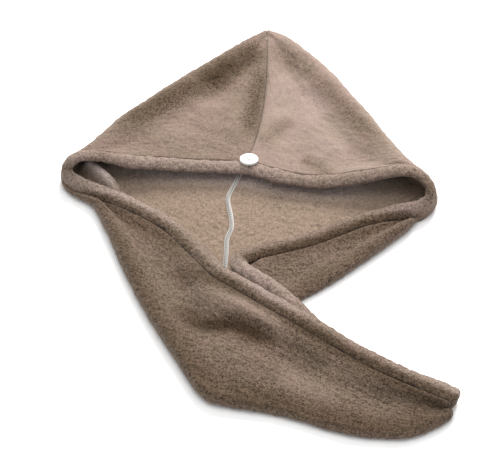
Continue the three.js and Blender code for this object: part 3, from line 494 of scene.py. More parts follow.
def panel_section(side, station):
    """Middle line of a panel at each station: from the inner edge over the upper layer to the crest of the
    silhouette roll, round the roll's arc, and back on the surface to the crown seam. The upper layer's outer
    half drops from the crest to the middle height within a set distance. Also how far round the roll each
    point is, from 0 to 1, and the way that the cloth faces on the roll and on the surface."""
    x, y, roll, start, plies, lift, seam_row = row_at(side.fold, station).T
    inner, leave, hold = inner_edge(side, station)
    silhouette = plan(x, y)
    silhouette[:, 0] += side.sign * SEAM_GAP / 2
    outwards = silhouette - inner
    outwards[:, 2] = 0
    outwards = unit(outwards)
    radius = (roll * FOLD_RADIUS)[:, None]
    centre = silhouette - outwards * (WALL / 2 + radius)
    centre[:, 2] = WALL / 2 + radius[:, 0]
    start = np.radians(start)[:, None]
    turn = np.linspace(0, 1, ROLL_STEPS)[None, :, None]
    angle = start[:, :, None] + (-np.pi / 2 - start[:, :, None]) * turn
    arc = centre[:, None] + radius[:, None] * (outwards[:, None] * np.cos(angle) + UP * np.sin(angle))
    crest = arc[:, 0]
    into = outwards * np.sin(start) - UP * np.cos(start)
    middle = (inner + crest) / 2
    middle[:, 2] = layer_height(plies, lift)
    across = unit(crest - inner)
    across[:, 2] *= 1 - np.degrees(start[:, 0]) / 90
    first = soft_span(inner, unit(across * (1 - hold) + leave * hold), middle, across, LAYER_STEPS)
    second = soft_span(middle, across, crest, into, LAYER_STEPS)
    run = np.linalg.norm(second[..., :2] - crest[:, None, :2], axis=-1)
    half = np.linalg.norm(middle[:, :2] - crest[:, :2], axis=-1)[:, None]
    slope = np.minimum(half, CREST_RUN)
    dropped = middle[:, None, 2] + (crest[:, None, 2] - middle[:, None, 2]) * (1 - smooth(run / slope, 0, 1))
    plump = (smooth(roll, 0.6, 0.9) * smooth(np.degrees(start[:, 0]), 75, 90))[:, None]
    second[..., 2] = second[..., 2] * (1 - plump) + dropped * plump
    end = lower_end(side, station, seam_row, arc[:, -1], outwards)
    t = np.linspace(0, 1, LAYER_STEPS)[None, :, None]
    lower = arc[:, -1][:, None] * (1 - t) + end[:, None] * t
    line = np.concatenate([first[:, :-1], second[:, :-1], arc[:, :-1], lower], 1)
    roll_first = 2 * (LAYER_STEPS - 1)
    roll_last = roll_first + ROLL_STEPS - 1
    part = np.concatenate([np.zeros(roll_first), np.linspace(0, 1, ROLL_STEPS - 1, endpoint=False),
                           np.ones(LAYER_STEPS)])
    facing = np.zeros(line.shape)
    facing[:, roll_first:roll_last] = -side.sign * unit(arc[:, :-1] - centre[:, None])
    facing[:, roll_last:] = (0, 0, side.sign)
    return line, np.broadcast_to(part, line.shape[:2]), facing


# Distances from the cloth's edge at which its rounding is drawn, in mm, closer on a line that is too short
EDGE_STEPS = np.array([0.0, 0.2, 0.6, 1.2, 2.0, 3.2])
SHORT_LINE = 20


def resample(line, values, count):
    """Points at even distances along each line, closer together next to its two ends, the values there, their
    distances along the line and its length."""
    step = np.linalg.norm(np.diff(line, axis=1), axis=-1)
    run = np.concatenate([np.zeros((len(line), 1)), np.cumsum(step, 1)], 1)
    length = run[:, -1:]
    edge = EDGE_STEPS[None] * np.minimum(1, length / SHORT_LINE)
    share = np.linspace(0, 1, count - 2 * len(EDGE_STEPS) + 2)[None, 1:-1]
    body = edge[:, -1:] + (length - 2 * edge[:, -1:]) * share
    place = np.concatenate([edge, body, length - edge[:, ::-1]], 1)
    both = np.concatenate([line, values], -1)
    both = np.stack([np.stack([np.interp(p, r, b[:, c]) for c in range(b.shape[1])], -1)
                     for p, r, b in zip(place, run, both)])
    return both[..., :3], both[..., 3:], place, length


def station_rows(side, first, last, count):
    """Stations at even distances, measured as the mean of the silhouette's and the inner edge's run."""
    fine = np.linspace(first, last, 1500)
    fold = plan(*row_at(side.fold, fine)[:, :2].T)
    inner = inner_edge(side, fine)[0]
    step = sum(np.linalg.norm(np.diff(line, axis=0), axis=1) for line in (fold, inner)) / 2
    run = np.concatenate([[0], np.cumsum(step)])
    return np.interp(np.linspace(0, run[-1], count), run, fine)


def grid_normals(points):
    """Normals of a grid: the cross product of the differences across and along it."""
    across = np.gradient(points, axis=1)
    along = np.gradient(points, axis=0)
    return unit(np.cross(across, along))


def edge_round(distance):
    """Share of the full thickness at a distance from the cloth's edge: a quarter circle above a least
    share."""
    circle = np.sqrt(np.clip(1 - (1 - np.clip(distance / EDGE_RADIUS, 0, 1))**2, 0, 1))
    return circle * (1 - EDGE_LEAST) + EDGE_LEAST


def shell(points, normal, place, length, seed, swells=0.0):
    """Both faces of a sheet of cloth: its middle surface pushed out along the normal by half the wall, less
    next to the edges, plus the clumps of its pile."""
    edge = np.minimum(place, length - place)
    rows = np.arange(len(points))[:, None]
    ends = np.minimum(rows, len(points) - 1 - rows) * ROW_SPACING
    half = WALL / 2 * edge_round(edge) * edge_round(ends)
    pile = sizes().pile * 1000
    random = np.random.default_rng(seed)
    clumps = [ripples(points, PILE_CLUMPS, seed + face_step)
              + LOOSE_PILE * random.uniform(-1, 1, points.shape[:2]) for face_step in (0, 10)]
    calm = smooth(edge, *PILE_FROM_EDGE)
    outer = points + normal * (half + pile * clumps[0] * calm)[..., None]
    inner = points - normal * (half + pile * clumps[1] * calm)[..., None]
    outer[..., 2] += swells
    inner[..., 2] += swells
    return outer, inner


def shell_faces(rows, columns):
    """Quads of a closed shell of two grids of rows by columns points, joined along all four edges."""
    index = np.arange(rows * columns).reshape(rows, columns)
    other = index + rows * columns

    def quads(a, b, c, d):
        """A quad for each place in the four grids of corners."""
        return np.stack([a.ravel(), b.ravel(), c.ravel(), d.ravel()], -1)

    top = quads(index[:-1, :-1], index[:-1, 1:], index[1:, 1:], index[1:, :-1])
    bottom = quads(other[:-1, :-1], other[1:, :-1], other[1:, 1:], other[:-1, 1:])
    near = quads(index[0, :-1], other[0, :-1], other[0, 1:], index[0, 1:])
    far = quads(index[-1, :-1], index[-1, 1:], other[-1, 1:], other[-1, :-1])
    left = quads(index[:-1, 0], index[1:, 0], other[1:, 0], other[:-1, 0])
    right = quads(index[:-1, -1], other[:-1, -1], other[1:, -1], index[1:, -1])
    return np.concatenate([top, bottom, near, far, left, right])


def closed_sheet(outer, inner):
    """A sheet's two faces as one list of points, none below the surface, the quads of the closed shell over
    them, and a mark for each point: 0 on the outer face and 1 on the inner one."""
    points = np.concatenate([outer.reshape(-1, 3), inner.reshape(-1, 3)])
    points[:, 2] = np.maximum(points[:, 2], 0.0)
    faces = outward(points, shell_faces(*outer.shape[:2]))
    return points, faces, np.repeat([0.0, 1.0], outer[..., 0].size)


def outward(points, faces):
    """Faces turned so that the volume that they enclose is positive."""
    corner = points[faces]
    volume = 0.0
    for second in range(1, faces.shape[1] - 1):
        volume += (corner[:, 0] * np.cross(corner[:, second], corner[:, second + 1])).sum()
    return faces if volume > 0 else faces[:, ::-1]


def add_piece(name, points, faces, material, attributes=None):
    """A smooth-shaded mesh object in the part's frame, from points in layout millimetres."""
    mesh = bpy.data.meshes.new(name)
    placed = np.asarray(points, float) / 1000 + np.array(sizes().shift)
    mesh.from_pydata(placed.tolist(), [], [list(map(int, face)) for face in faces])
    for key, values in (attributes or {}).items():
        mesh.attributes.new(key, "FLOAT", "POINT").data.foreach_set("value", np.asarray(values, np.float32))
    mesh.polygons.foreach_set("use_smooth", np.ones(len(mesh.polygons), bool))
    mesh.update()
    mesh.validate()
    piece = bpy.data.objects.new(name, mesh)
    bpy.context.scene.collection.objects.link(piece)
    mesh.materials.append(material)
    return piece


# Shader maths

class Wire:
    """One output of a shader tree. Arithmetic on it adds Math nodes."""

    def __init__(self, tree, socket):
        self.tree, self.socket = tree, socket

    def math(self, operation, *values):
        """Adds a Math node of this operation on these values."""
        return node(self.tree, "ShaderNodeMath", {"operation": operation}, dict(enumerate(values)))

    def __add__(self, other):
        return self.math("ADD", self, other)

    def __radd__(self, other):
        return self.math("ADD", other, self)

    def __sub__(self, other):
        return self.math("SUBTRACT", self, other)

    def __rsub__(self, other):
        return self.math("SUBTRACT", other, self)

    def __mul__(self, other):
        return self.math("MULTIPLY", self, other)

    def __rmul__(self, other):
        return self.math("MULTIPLY", other, self)

    def ramp(self, low, high):
        """0 below low, 1 above high, smooth between."""
        return node(self.tree, "ShaderNodeMapRange", {"interpolation_type": "SMOOTHSTEP"},
                    {"Value": self, "From Min": low, "From Max": high})


def node(tree, kind, settings=None, inputs=None, output=0):
    """Adds a node, sets its settings, then the values or links of its sockets, and gives one output."""
    made = tree.nodes.new(kind)
    for key, value in (settings or {}).items():
        setattr(made, key, value)
    for key, value in (inputs or {}).items():
        if isinstance(value, Wire):
            tree.links.new(value.socket, made.inputs[key])
        else:
            made.inputs[key].default_value = value
    return Wire(tree, made.outputs[output])


def new_material(name):
    """A material with an empty node tree, and the tree."""
    material = bpy.data.materials.new(name)
    material.use_nodes = True
    material.node_tree.nodes.clear()
    return material, material.node_tree


def finish_material(tree, inputs):
    """Joins a Principled shader with the given sockets to the material's output."""
    shader = node(tree, "ShaderNodeBsdfPrincipled", None, inputs, "BSDF")
    node_out = tree.nodes.new("ShaderNodeOutputMaterial")
    tree.links.new(shader.socket, node_out.inputs["Surface"])


def colour_mix(tree, share, first, second):
    """First colour to second by a share."""
    return node(tree, "ShaderNodeMix", {"data_type": "RGBA"}, {0: share, 6: first, 7: second}, 2)


def noise(tree, place, scale, detail=2.0, roughness=0.5, distortion=0.0):
    """Soft noise about 0.5, with its scale in waves per metre."""
    return node(tree, "ShaderNodeTexNoise", None, {
        "Vector": place, "Scale": scale, "Detail": detail, "Roughness": roughness,
        "Distortion": distortion}, "Fac")


def rgba(colour):
    """A colour with an alpha of one."""
    return (*colour, 1.0)


# Fleece: the values of the nap attribute, which carries painted shade and light, between which the pile comes
# to lie flat, the powers of that value for green and blue, which make painted shade warmer, and how flat the
# pile of the cloth and of the hems can lie
FLAT_FROM = (0.52, 0.90)
GREEN_POWER = 1.14
BLUE_POWER = 1.42
CLOTH_FLATNESS = 0.72
HEM_FLATNESS = 0.2


def fleece(name, lit, warm, roots, inner, flatness):
    """Short curly pile: clumps of two sizes raise the surface, the hollows between them are darker, partly
    the base cloth's own colour and partly painted shade, and wide soft patches lean to the warmer tone where
    the nap lies the other way. The inner face, marked by its own attribute, has the lining's colour and
    larger curls. The nap attribute, which carries painted shade and light, scales the colour, green and blue
    by a power above one, so that painted shade is warmer; where the painted light is strong, the dark hollows
    and the bump fade."""
    material, tree = new_material(name)
    place = node(tree, "ShaderNodeTexCoord", output="Object")
    inside = node(tree, "ShaderNodeAttribute", {"attribute_name": "inside"}, None, "Fac")
    # The nap attribute carries each piece's painted shade and painted light
    nap = node(tree, "ShaderNodeAttribute", {"attribute_name": "nap"}, None, "Fac")
    curls = noise(tree, place, 760, 2.0, 0.6, 0.5)
    tufts = noise(tree, place, 400, 1.0, 0.5, 0.6)
    waves = noise(tree, place, 170, 2.0, 0.5, 1.6)
    patches = noise(tree, place, 20, 1.0, 0.5)
    lanes = noise(tree, place, 55, 1.0, 0.5)
    height = curls * 0.62 + tufts * (0.38 - 0.2 * inside) + waves * (0.2 * inside)
    # Darker hollows between the clumps: partly the cloth's own colour, partly painted shade
    depth = height.ramp(0.34, 0.62)
    # Where the painted light is strong, the dark hollows and the bump fade
    smoothed = nap.ramp(*FLAT_FROM) * flatness * (1 - 0.6 * inside)
    depth = depth + (1 - depth) * smoothed
    tone = colour_mix(tree, (patches * 0.6 + lanes * 0.4).ramp(0.38, 0.62), rgba(lit), rgba(warm))
    tone = colour_mix(tree, inside * 0.8, tone, rgba(inner))
    # Painted shade and light scale the colour, green and blue by a power, so that painted shade turns warmer
    shade = node(tree, "ShaderNodeCombineXYZ", None, {
        "X": nap, "Y": nap.math("POWER", nap, GREEN_POWER), "Z": nap.math("POWER", nap, BLUE_POWER)})
    colour = node(tree, "ShaderNodeVectorMath", {"operation": "MULTIPLY"}, {
        0: colour_mix(tree, depth, rgba(roots), tone), 1: shade}, "Vector")
    bump = node(tree, "ShaderNodeBump", None, {
        "Strength": 1.0 - 0.5 * smoothed, "Distance": 0.0014, "Height": height}, "Normal")
    finish_material(tree, {
        "Base Color": colour, "Roughness": 0.95, "Normal": bump, "Specular IOR Level": 0.1,
        "Sheen Weight": 0.35, "Sheen Roughness": 0.4, "Sheen Tint": (0.86, 0.78, 0.71, 1.0)})
    return material


def thread_material(name, colour):
    """Spun thread: fine bright and grey flecks along it."""
    material, tree = new_material(name)
    place = node(tree, "ShaderNodeTexCoord", output="Object")
    fleck = noise(tree, place, 1500, 2.0, 0.6)
    shade = colour_mix(tree, fleck.ramp(0.35, 0.6), rgba([c * 0.72 for c in colour]), rgba(colour))
    bump = node(tree, "ShaderNodeBump", None, {
        "Strength": 0.5, "Distance": 0.0002, "Height": fleck}, "Normal")
    finish_material(tree, {"Base Color": shade, "Roughness": 0.7, "Normal": bump, "Sheen Weight": 0.2})
    return material


def button_material(name, colour):
    """Polished resin: faint cloudy streaks and fine moulding unevenness under a clear gloss."""
    material, tree = new_material(name)
    place = node(tree, "ShaderNodeTexCoord", output="Object")
    cloud = noise(tree, place, 160, 2.0, 0.5, 1.5)
    shade = colour_mix(tree, cloud.ramp(0.3, 0.7), rgba([c * 0.93 for c in colour]), rgba(colour))
    rough = 0.16 + 0.1 * cloud
    bump = node(tree, "ShaderNodeBump", None, {
        "Strength": 0.06, "Distance": 0.0003, "Height": cloud}, "Normal")
    finish_material(tree, {"Base Color": shade, "Roughness": rough, "Normal": bump, "Coat Weight": 0.4,
                           "Coat Roughness": 0.08})
    return material


made_fleece = {}


def towel_fleece(name, flatness):
    """Fleece in the towel's colours, made at its first use and shared by the pieces that name it."""
    if name not in made_fleece:
        c = colours()
        tones = [list(tone) for tone in (c.nap, c.nap_warm, c.roots, c.lining)]
        made_fleece[name] = fleece(name, *tones, flatness)
    return made_fleece[name]


# Pieces

def corner_fold(points):
    """The roll of inner cloth that lies in the left corner of the mouth: a half-round ridge on its path."""
    distance, share = near_path(points, CORNER_FOLD)
    round_top = np.sqrt(np.clip(1 - (distance / CORNER_RADIUS)**2, 0, 1))
    soft = 0.8 * round_top + 0.2 * np.exp(-(distance / CORNER_SKIRT)**2)
    return CORNER_HEIGHT * soft * smooth(share, 0.0, 0.22) * smooth(1 - share, 0.0, 0.45)


def panel_shell(side, first, last, rows, columns, seed):
    """Grid of one panel's two faces, with the folds of its upper layer and the roll in the left corner, and
    the tone of both faces' pile, which carries painted shade and light: outside, a base times e to the power
    of the painted lanes' swells on the upper layer, and inside, a base with painted light below the mouth's
    rim and on the corner roll's top."""
    station = station_rows(side, first, last, rows)
    line, part, facing = panel_section(side, station)
    points, values, place, length = resample(line, np.concatenate([part[..., None], facing], -1), columns)
    part, facing = values[..., 0], values[..., 1:]
    upper = 1 - smooth(part, *UPPER_ENDS)
    hood = (1 - smooth(station, *HOOD_END))[:, None]
    corner = smooth(part, *FLOOR_STARTS) * corner_fold(points) * hood * (side is LEFT)
    folds = swell(points, NAPE_FOLDS) * hood + swell(points, FLAP_FOLDS) * (1 - hood)
    lift = upper * smooth(place, *FOLDS_FROM_EDGE) * folds
    lift += upper * smooth(place, *WAVES_FROM_EDGE) * ripples(points, SLOW_WAVES, seed)
    lift = np.maximum(lift + corner, -DEEPEST_DENT)
    on_roll = smooth(part, *ROLL_STARTS)[..., None]
    normal = unit(grid_normals(points) * (1 - on_roll) + unit(facing) * on_roll)
    # Beside the nape seam and at its end, the cloth's thickness stays in the plane of the seam
    seam_end = station <= NAPE
    normal[seam_end, 0, 0] = 0
    normal[0, :, 0] = 0
    normal = unit(normal) * -side.sign
    outer, inner = shell(points, normal, place, length, seed, lift)
    near_seam = np.where(seam_end[:, None], np.exp(-(place / SEAM_GROOVE_WIDTH)**2), 0.0)
    outer[..., 2] -= SEAM_GROOVE * near_seam
    inner[..., 2] -= SEAM_GROOVE_INSIDE * near_seam
    # Painted shade and painted light: lanes on the upper layer outside, and on the inner face below the
    # mouth's rim and on the corner roll's top
    lanes = swell(points, HOOD_PAINTED_SHADING) * hood + swell(points, FLAP_PAINTED_SHADING) * (1 - hood)
    base = HOOD_TONE[side.sign] * hood + FLAP_TONE * (1 - hood)
    inside_painted_light = np.minimum(np.exp(CORNER_PAINTED_LIGHT * corner + swell(points, MOUTH_PAINTED_LIGHT)), LIGHTEST)
    return outer, inner, np.stack([base * np.exp(lanes * upper), FLOOR_TONE * inside_painted_light])


def tail_section(start, leave, middle_height, end):
    """Line of the turned-over tail from the hem across to the turned edge, by way of a middle height."""
    middle = (start + end) / 2
    middle[:, 2] = middle_height
    across = end - start
    across[:, 2] = 0
    across = unit(across)
    leave = across if leave is None else leave
    return np.concatenate([soft_span(start, leave, middle, across, 30)[:, :-1],
                           soft_span(middle, across, end, across, 30)], 1)


def right_tail_lines():
    """Lines of the right panel's tail: the strip that rolls over the turn's line, then the tail itself."""
    radius = PLY_PITCH / 2
    line_start = plan(*TURN_START)
    line_end = plan(*row_at(RIGHT_FOLD, RIGHT_TURN)[0, :2])
    line = unit(line_end - line_start)
    west = np.array([line[1], -line[0], 0])
    low = layer_height(1, 0)
    angle = np.pi * (np.linspace(0, 1, 9) - 0.5)
    sideways = np.concatenate([[-2 * WALL], radius * np.cos(angle)])
    height = np.concatenate([[low], low + radius + radius * np.sin(angle)])
    start = line_start + west * sideways[:, None]
    end = line_end + west * sideways[:, None]
    start[:, 2] = end[:, 2] = height
    strip = tail_section(start, None, height, end)
    rows = np.linspace(0, len(RIGHT_TAIL) - 1, 150)
    hem_station, left_station, plies, edge_plies = row_at(RIGHT_TAIL, rows).T
    centre, _, wide, _ = hem_frame(RIGHT, hem_station)
    start = centre - wide * (sizes().hem_width * 500 + PIECE_GAP)
    edge = panel_section(LEFT, left_station)[0]
    inwards = edge[:, -1] - edge[:, -2]
    inwards[:, 2] = 0
    end = edge[:, -1] + unit(inwards) * 2 * PIECE_GAP
    end[:, 2] = layer_height(edge_plies, 0)
    tail = tail_section(start, -wide, layer_height(plies, 0), end)
    return np.concatenate([strip, tail])


# Hem: points round it, mm between its rings, the turn of its end cap in degrees, how much fuller than an oval
# its flanks, crown and base are, its share of the full width, how sharply its flank bulges towards the panel,
# and the turns over which that flank is painted darker, as painted shade, along and round the hem
HEM_AROUND = 40
HEM_SPACING = 1.25
HEM_CAP = (10, 88)
HEM_FULLNESS = 0.10
HEM_FIT = 0.985
FLANK_SPREAD = 0.12
FLANK_TURNED = (0.2, 0.8)
FLANK_SHADE_ROUND = (-0.3, 0.7)


def hem_tube(side, tones, seed):
    """Rolled hem: an oval swept along the rim, fuller where it meets the panel, with slow puckers in its
    size, clumps of pile, a flat end at the nape and a rounded end at the tail's tip. Also the painted shade
    and light of its pile, from the table, with more painted shade where the flank on the panel's side is
    turned to the front."""
    last = NAPE + len(side.hem) - 1
    fine = np.linspace(NAPE, last, 2500)
    step = np.linalg.norm(np.diff(hem_centre(side, fine), axis=0), axis=1)
    run = np.concatenate([[0], np.cumsum(step)])
    even = np.linspace(0, run[-1], int(run[-1] / HEM_SPACING))
    centre, along, wide, thin = hem_frame(side, np.interp(even, run, fine))
    half_wide, half_thin = sizes().hem_width * 500, sizes().hem_thickness * 500
    cap = np.radians(np.linspace(*HEM_CAP, 7))
    centre = np.concatenate([centre, centre[-1] + along[-1] * (half_thin * np.sin(cap))[:, None]])
    share = np.concatenate([np.ones(len(even)), np.cos(cap)])
    along, wide, thin = (np.concatenate([v, np.repeat(v[-1:], len(cap), 0)]) for v in (along, wide, thin))
    angle = 2 * np.pi * np.arange(HEM_AROUND) / HEM_AROUND
    across, up = np.cos(angle), np.sin(angle)
    fuller = 1 + HEM_FULLNESS * np.cos(2 * angle) ** 2
    pucker = 1 + ripples(centre, HEM_PUCKERS, seed)
    size = (share * pucker)[:, None]
    ring = (centre[:, None]
            + wide[:, None] * (half_wide * across)[None, :, None] * (size * HEM_FIT)[..., None]
            + thin[:, None] * (half_thin * up * fuller)[None, :, None] * size[..., None])
    normal = unit(wide[:, None] * (across / half_wide)[None, :, None]
                  + thin[:, None] * (up / half_thin)[None, :, None])
    random = np.random.default_rng(seed)
    loose = HEM_LOOSE_PILE * random.uniform(-1, 1, ring.shape[:2])
    pile = (ripples(ring, HEM_CLUMPS, seed) + loose) * sizes().pile * 1000
    flank = np.exp(-((angle + np.pi) % (2 * np.pi) - np.pi)**2 / FLANK_SPREAD)
    ring += normal * (pile * share[:, None])[..., None]
    ring += wide[:, None] * (PIECE_GAP * flank)[None, :, None] * size[..., None]
    ring[..., 2] = np.maximum(ring[..., 2], 0.0)
    # Painted shade and light along the hem, and painted shade on the flank turned to the front
    tone = np.interp(np.append(np.interp(even, run, fine), [last] * len(cap)), *tones.T)
    turned = smooth(-wide[:, 1:2], *FLANK_TURNED) * smooth(across, *FLANK_SHADE_ROUND)
    return ring, tone[:, None] * (1 - TURNED_SHADE * turned)


def tube_faces(rows, columns, first=0):
    """Quads round a tube of closed rings, and the two fans' quads that close its ends across the ring."""
    index = np.arange(rows * columns).reshape(rows, columns) + first
    after = np.roll(index, -1, 1)
    wall = np.stack([index[:-1].ravel(), after[:-1].ravel(), after[1:].ravel(), index[1:].ravel()], -1)
    low = np.arange(columns // 2 - 1)
    mate = columns - 1 - low
    near = np.stack([index[0, low], index[0, mate], index[0, mate - 1], index[0, low + 1]], -1)
    far = np.stack([index[-1, low], index[-1, low + 1], index[-1, mate - 1], index[-1, mate]], -1)
    return np.concatenate([wall, near, far])


def carried(path, normal, outline):
    """A closed outline carried along a path: each ring is the outline's sideways and upward parts, laid on
    the directions square to the path. A closed ring of points for every point of the path."""
    along = unit(np.gradient(path, axis=0))
    sideways = unit(np.cross(normal, along))
    upward = np.cross(along, sideways)
    return (path[:, None] + sideways[:, None] * outline[None, :, :1] + upward[:, None] * outline[None, :, 1:])


class TURBAN_OT_left_panel(bpy.types.Operator):
    """Adds the left panel of fleece, folded under, over the surface and back over itself as the tail."""
    bl_idname = "turban.left_panel"
    bl_label = "Left panel"

    def execute(self, context):
        outer, inner, nap = panel_shell(LEFT, 0, len(LEFT_FOLD) - 1, *LEFT_GRID, LEFT_SEED)
        points, faces, inside = closed_sheet(outer, inner)
        # The nap attribute carries the panel's painted shade and painted light
        piece = add_piece("left_panel_fleece", points, faces, towel_fleece("coral_fleece", CLOTH_FLATNESS),
                          {"inside": inside, "nap": nap.ravel()})
        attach(piece, "root")
        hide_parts("left_panel")
        return {"FINISHED"}


class TURBAN_OT_right_panel(bpy.types.Operator):
    """Adds the right panel of fleece: its hood, and its tail turned over under the left one."""
    bl_idname = "turban.right_panel"
    bl_label = "Right panel"

    def execute(self, context):
        outer, inner, nap = panel_shell(RIGHT, 0, RIGHT_TURN, *RIGHT_GRID, RIGHT_SEED)
        lines = right_tail_lines()
        middle, _, place, length = resample(lines, lines[..., :0], TAIL_COLUMNS)
        hood, hood_faces, inside = closed_sheet(outer, inner)
        tail_sides = shell(middle, grid_normals(middle), place, length, TAIL_SEED)
        tail, tail_faces, _ = closed_sheet(*tail_sides)
        # The nap attribute carries the hood's painted shade and painted light; the tail takes the flap's
        # plain tone
        piece = add_piece("right_panel_fleece", np.concatenate([hood, tail]),
                          np.concatenate([hood_faces, tail_faces + len(hood)]),
                          towel_fleece("coral_fleece", CLOTH_FLATNESS),
                          {"inside": np.append(inside, np.zeros(len(tail))),
                           "nap": np.append(nap, np.full(len(tail), FLAP_TONE))})
        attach(piece, "root")
        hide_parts("right_panel")
        return {"FINISHED"}


class TURBAN_OT_rim_hems(bpy.types.Operator):
    """Adds the two rolled hems along the panels' straight rims."""
    bl_idname = "turban.rim_hems"
    bl_label = "Rim hems"

    def execute(self, context):
        for name, node_name, side, tones, seed in (
                ("left_hem_roll", "left_rim_hem", LEFT, LEFT_HEM_PAINTED_SHADING, 71),
                ("right_hem_roll", "right_rim_hem", RIGHT, RIGHT_HEM_PAINTED_SHADING, 83)):
            # The nap attribute carries each hem's painted shade and painted light
            ring, nap = hem_tube(side, tones, seed)
            points = ring.reshape(-1, 3)
            piece = add_piece(name, points, outward(points, tube_faces(*ring.shape[:2])),
                              towel_fleece("hem_fleece", HEM_FLATNESS), {"nap": nap.ravel()})
            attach(piece, "root")
            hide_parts(node_name)
        return {"FINISHED"}


# Seam ridge and its overlock: rows of the crown seam, and sizes in mm
RIDGE_ROWS = (1.2, 9.8)
RIDGE_BASE = WALL + 0.1
ALLOWANCE_HALF = 1.4
ALLOWANCE_FOOT = 0.55
ALLOWANCE_HEIGHT = 1.9
STITCH_REACH = 1.85
STITCH_HEIGHT = 2.35
STITCH_THREAD = 0.58
STITCH_SLANT = 0.42
THREAD_SIDES = 6
EDGE_THREAD = 0.3
EDGE_LANE = 1.9
EDGE_BEAT = 0.22
EDGE_HEIGHT = 0.5
FRAYING = 0.12
BLUNTNESS = 0.8
STITCH_TURN = (-0.08, 1.08)


def ridge_path(count):
    """Middle line of the seam ridge on the hood's floor, at even distances."""
    place = np.linspace(*RIDGE_ROWS, 600)
    line = plan(*row_at(CROWN_SEAM, place).T, RIDGE_BASE)
    run = np.concatenate([[0], np.cumsum(np.linalg.norm(np.diff(line, axis=0), axis=1))])
    even = np.linspace(0, run[-1], count)
    return np.stack([np.interp(even, run, line[:, c]) for c in range(3)], -1), run[-1]


class TURBAN_OT_crown_seam(bpy.types.Operator):
    """Adds the seam ridge on the hood's floor and the white overlock stitches that wrap it."""
    bl_idname = "turban.crown_seam"
    bl_label = "Crown seam"

    def execute(self, context):
        path, run = ridge_path(260)
        turn = np.linspace(0, np.pi, 9)
        crown = np.stack([ALLOWANCE_HALF * np.cos(turn), ALLOWANCE_HEIGHT * np.sin(turn) ** BLUNTNESS], -1)
        under = np.stack([np.linspace(-ALLOWANCE_FOOT, ALLOWANCE_FOOT, 3), np.zeros(3)], -1)
        outline = np.concatenate([crown, under])
        ring = carried(path, UP, outline)
        random = np.random.default_rng(5)
        ring += FRAYING * random.normal(size=ring.shape)
        ring[..., 2] = np.clip(ring[..., 2], WALL - 0.2, None)
        points = ring.reshape(-1, 3)
        # The allowance takes the darkest fleece colour as painted shade in the gaps between the stitches
        strip = add_piece("seam_allowance", points, outward(points, tube_faces(*ring.shape[:2])),
                          thread_material("overlock_ground_painted_shade", list(colours().roots)))
        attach(strip, "root")
        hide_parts("crown_seam_ridge")

        pitch = sizes().stitch_pitch * 1000
        count = int(run / pitch)
        middle, _ = ridge_path(count)
        along = unit(np.gradient(middle, axis=0))
        sideways = np.cross(UP, along)
        turn = np.linspace(*STITCH_TURN, 11) * np.pi
        arch = (middle[:, None] + sideways[:, None] * (STITCH_REACH * np.cos(turn))[None, :, None]
                + UP * (STITCH_HEIGHT * np.sin(turn))[None, :, None]
                + along[:, None] * (pitch * STITCH_SLANT * np.cos(turn))[None, :, None])
        arch[..., 2] = np.maximum(arch[..., 2], RIDGE_BASE)
        angle = 2 * np.pi * np.arange(THREAD_SIDES) / THREAD_SIDES
        travel = unit(np.gradient(arch, axis=1))
        across = unit(np.cross(travel, along[:, None]))
        third = np.cross(travel, across)
        circle = STITCH_THREAD * np.stack([np.cos(angle), np.sin(angle)])[:, None, None, :, None]
        loops = arch[:, :, None] + across[:, :, None] * circle[0] + third[:, :, None] * circle[1]
        one = tube_faces(arch.shape[1], THREAD_SIDES)
        size = arch.shape[1] * THREAD_SIDES
        faces = np.concatenate([one + k * size for k in range(count)])
        arches = loops.reshape(-1, 3)
        lanes = []
        lane_faces = []
        for lane in (EDGE_LANE, -EDGE_LANE):
            path, _ = ridge_path(count * 4)
            direction = np.cross(UP, unit(np.gradient(path, axis=0)))
            beat = EDGE_BEAT * np.sin(np.arange(len(path)) * np.pi / 2)[:, None]
            path = path + direction * (lane + beat) + UP * EDGE_HEIGHT
            outline = EDGE_THREAD * np.stack([np.cos(angle), np.sin(angle)], -1)
            ring = carried(path, UP, outline)
            lane_faces.append(tube_faces(len(path), THREAD_SIDES,
                                         len(arches) + sum(len(part) for part in lanes)))
            lanes.append(ring.reshape(-1, 3))
        faces = np.concatenate([outward(arches, faces), *lane_faces])
        stitches = add_piece("overlock_stitches", np.concatenate([arches, *lanes]), faces,
                             thread_material("overlock_thread", list(colours().thread)))
        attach(stitches, "root")
        return {"FINISHED"}


# Button, in mm: its dish, its raised rim and its four holes
BUTTON_ABOVE_HEM = 7.0
BUTTON_RADIUS = 9.75
BUTTON_THICKNESS = 3.2
RIM_BEAD = 1.35
DISH_DEPTH = 0.9
DISH_EDGE = (6.4, 8.2)
DISH_END = 6.5
HOLE_REACH = 2.5
HOLE_EDGE = (0.85, 1.2)
HOLE_DEPTH = 1.7
AXIS_GAP = 0.02
BUTTON_AROUND = 160
UNDER_RADII = np.array([BUTTON_RADIUS, 9.3, 8.0, 4.0, AXIS_GAP])
UNDER_ROUNDING = np.array([0.6, 0.12, 0.0, 0.0, 0.0])

# Thread cross, in mm: its threads' radius, their lanes, each pair's rise over the dish, the bow of a thread
# and its drop into the hole, and the points along and round it
CROSS_THREAD = 0.34
CROSS_LANES = (-0.62, 0.0, 0.62)
CROSS_RISES = (0.30, 0.62)
CROSS_BOW = 0.5
CROSS_DROP = 1.6
DROP_STARTS = (0.86, 1)
CROSS_STEPS = 25
CROSS_SIDES = 10

# Up, with a slight tilt, so that it is never along a thread
NEARLY_UP = UP + 1e-4


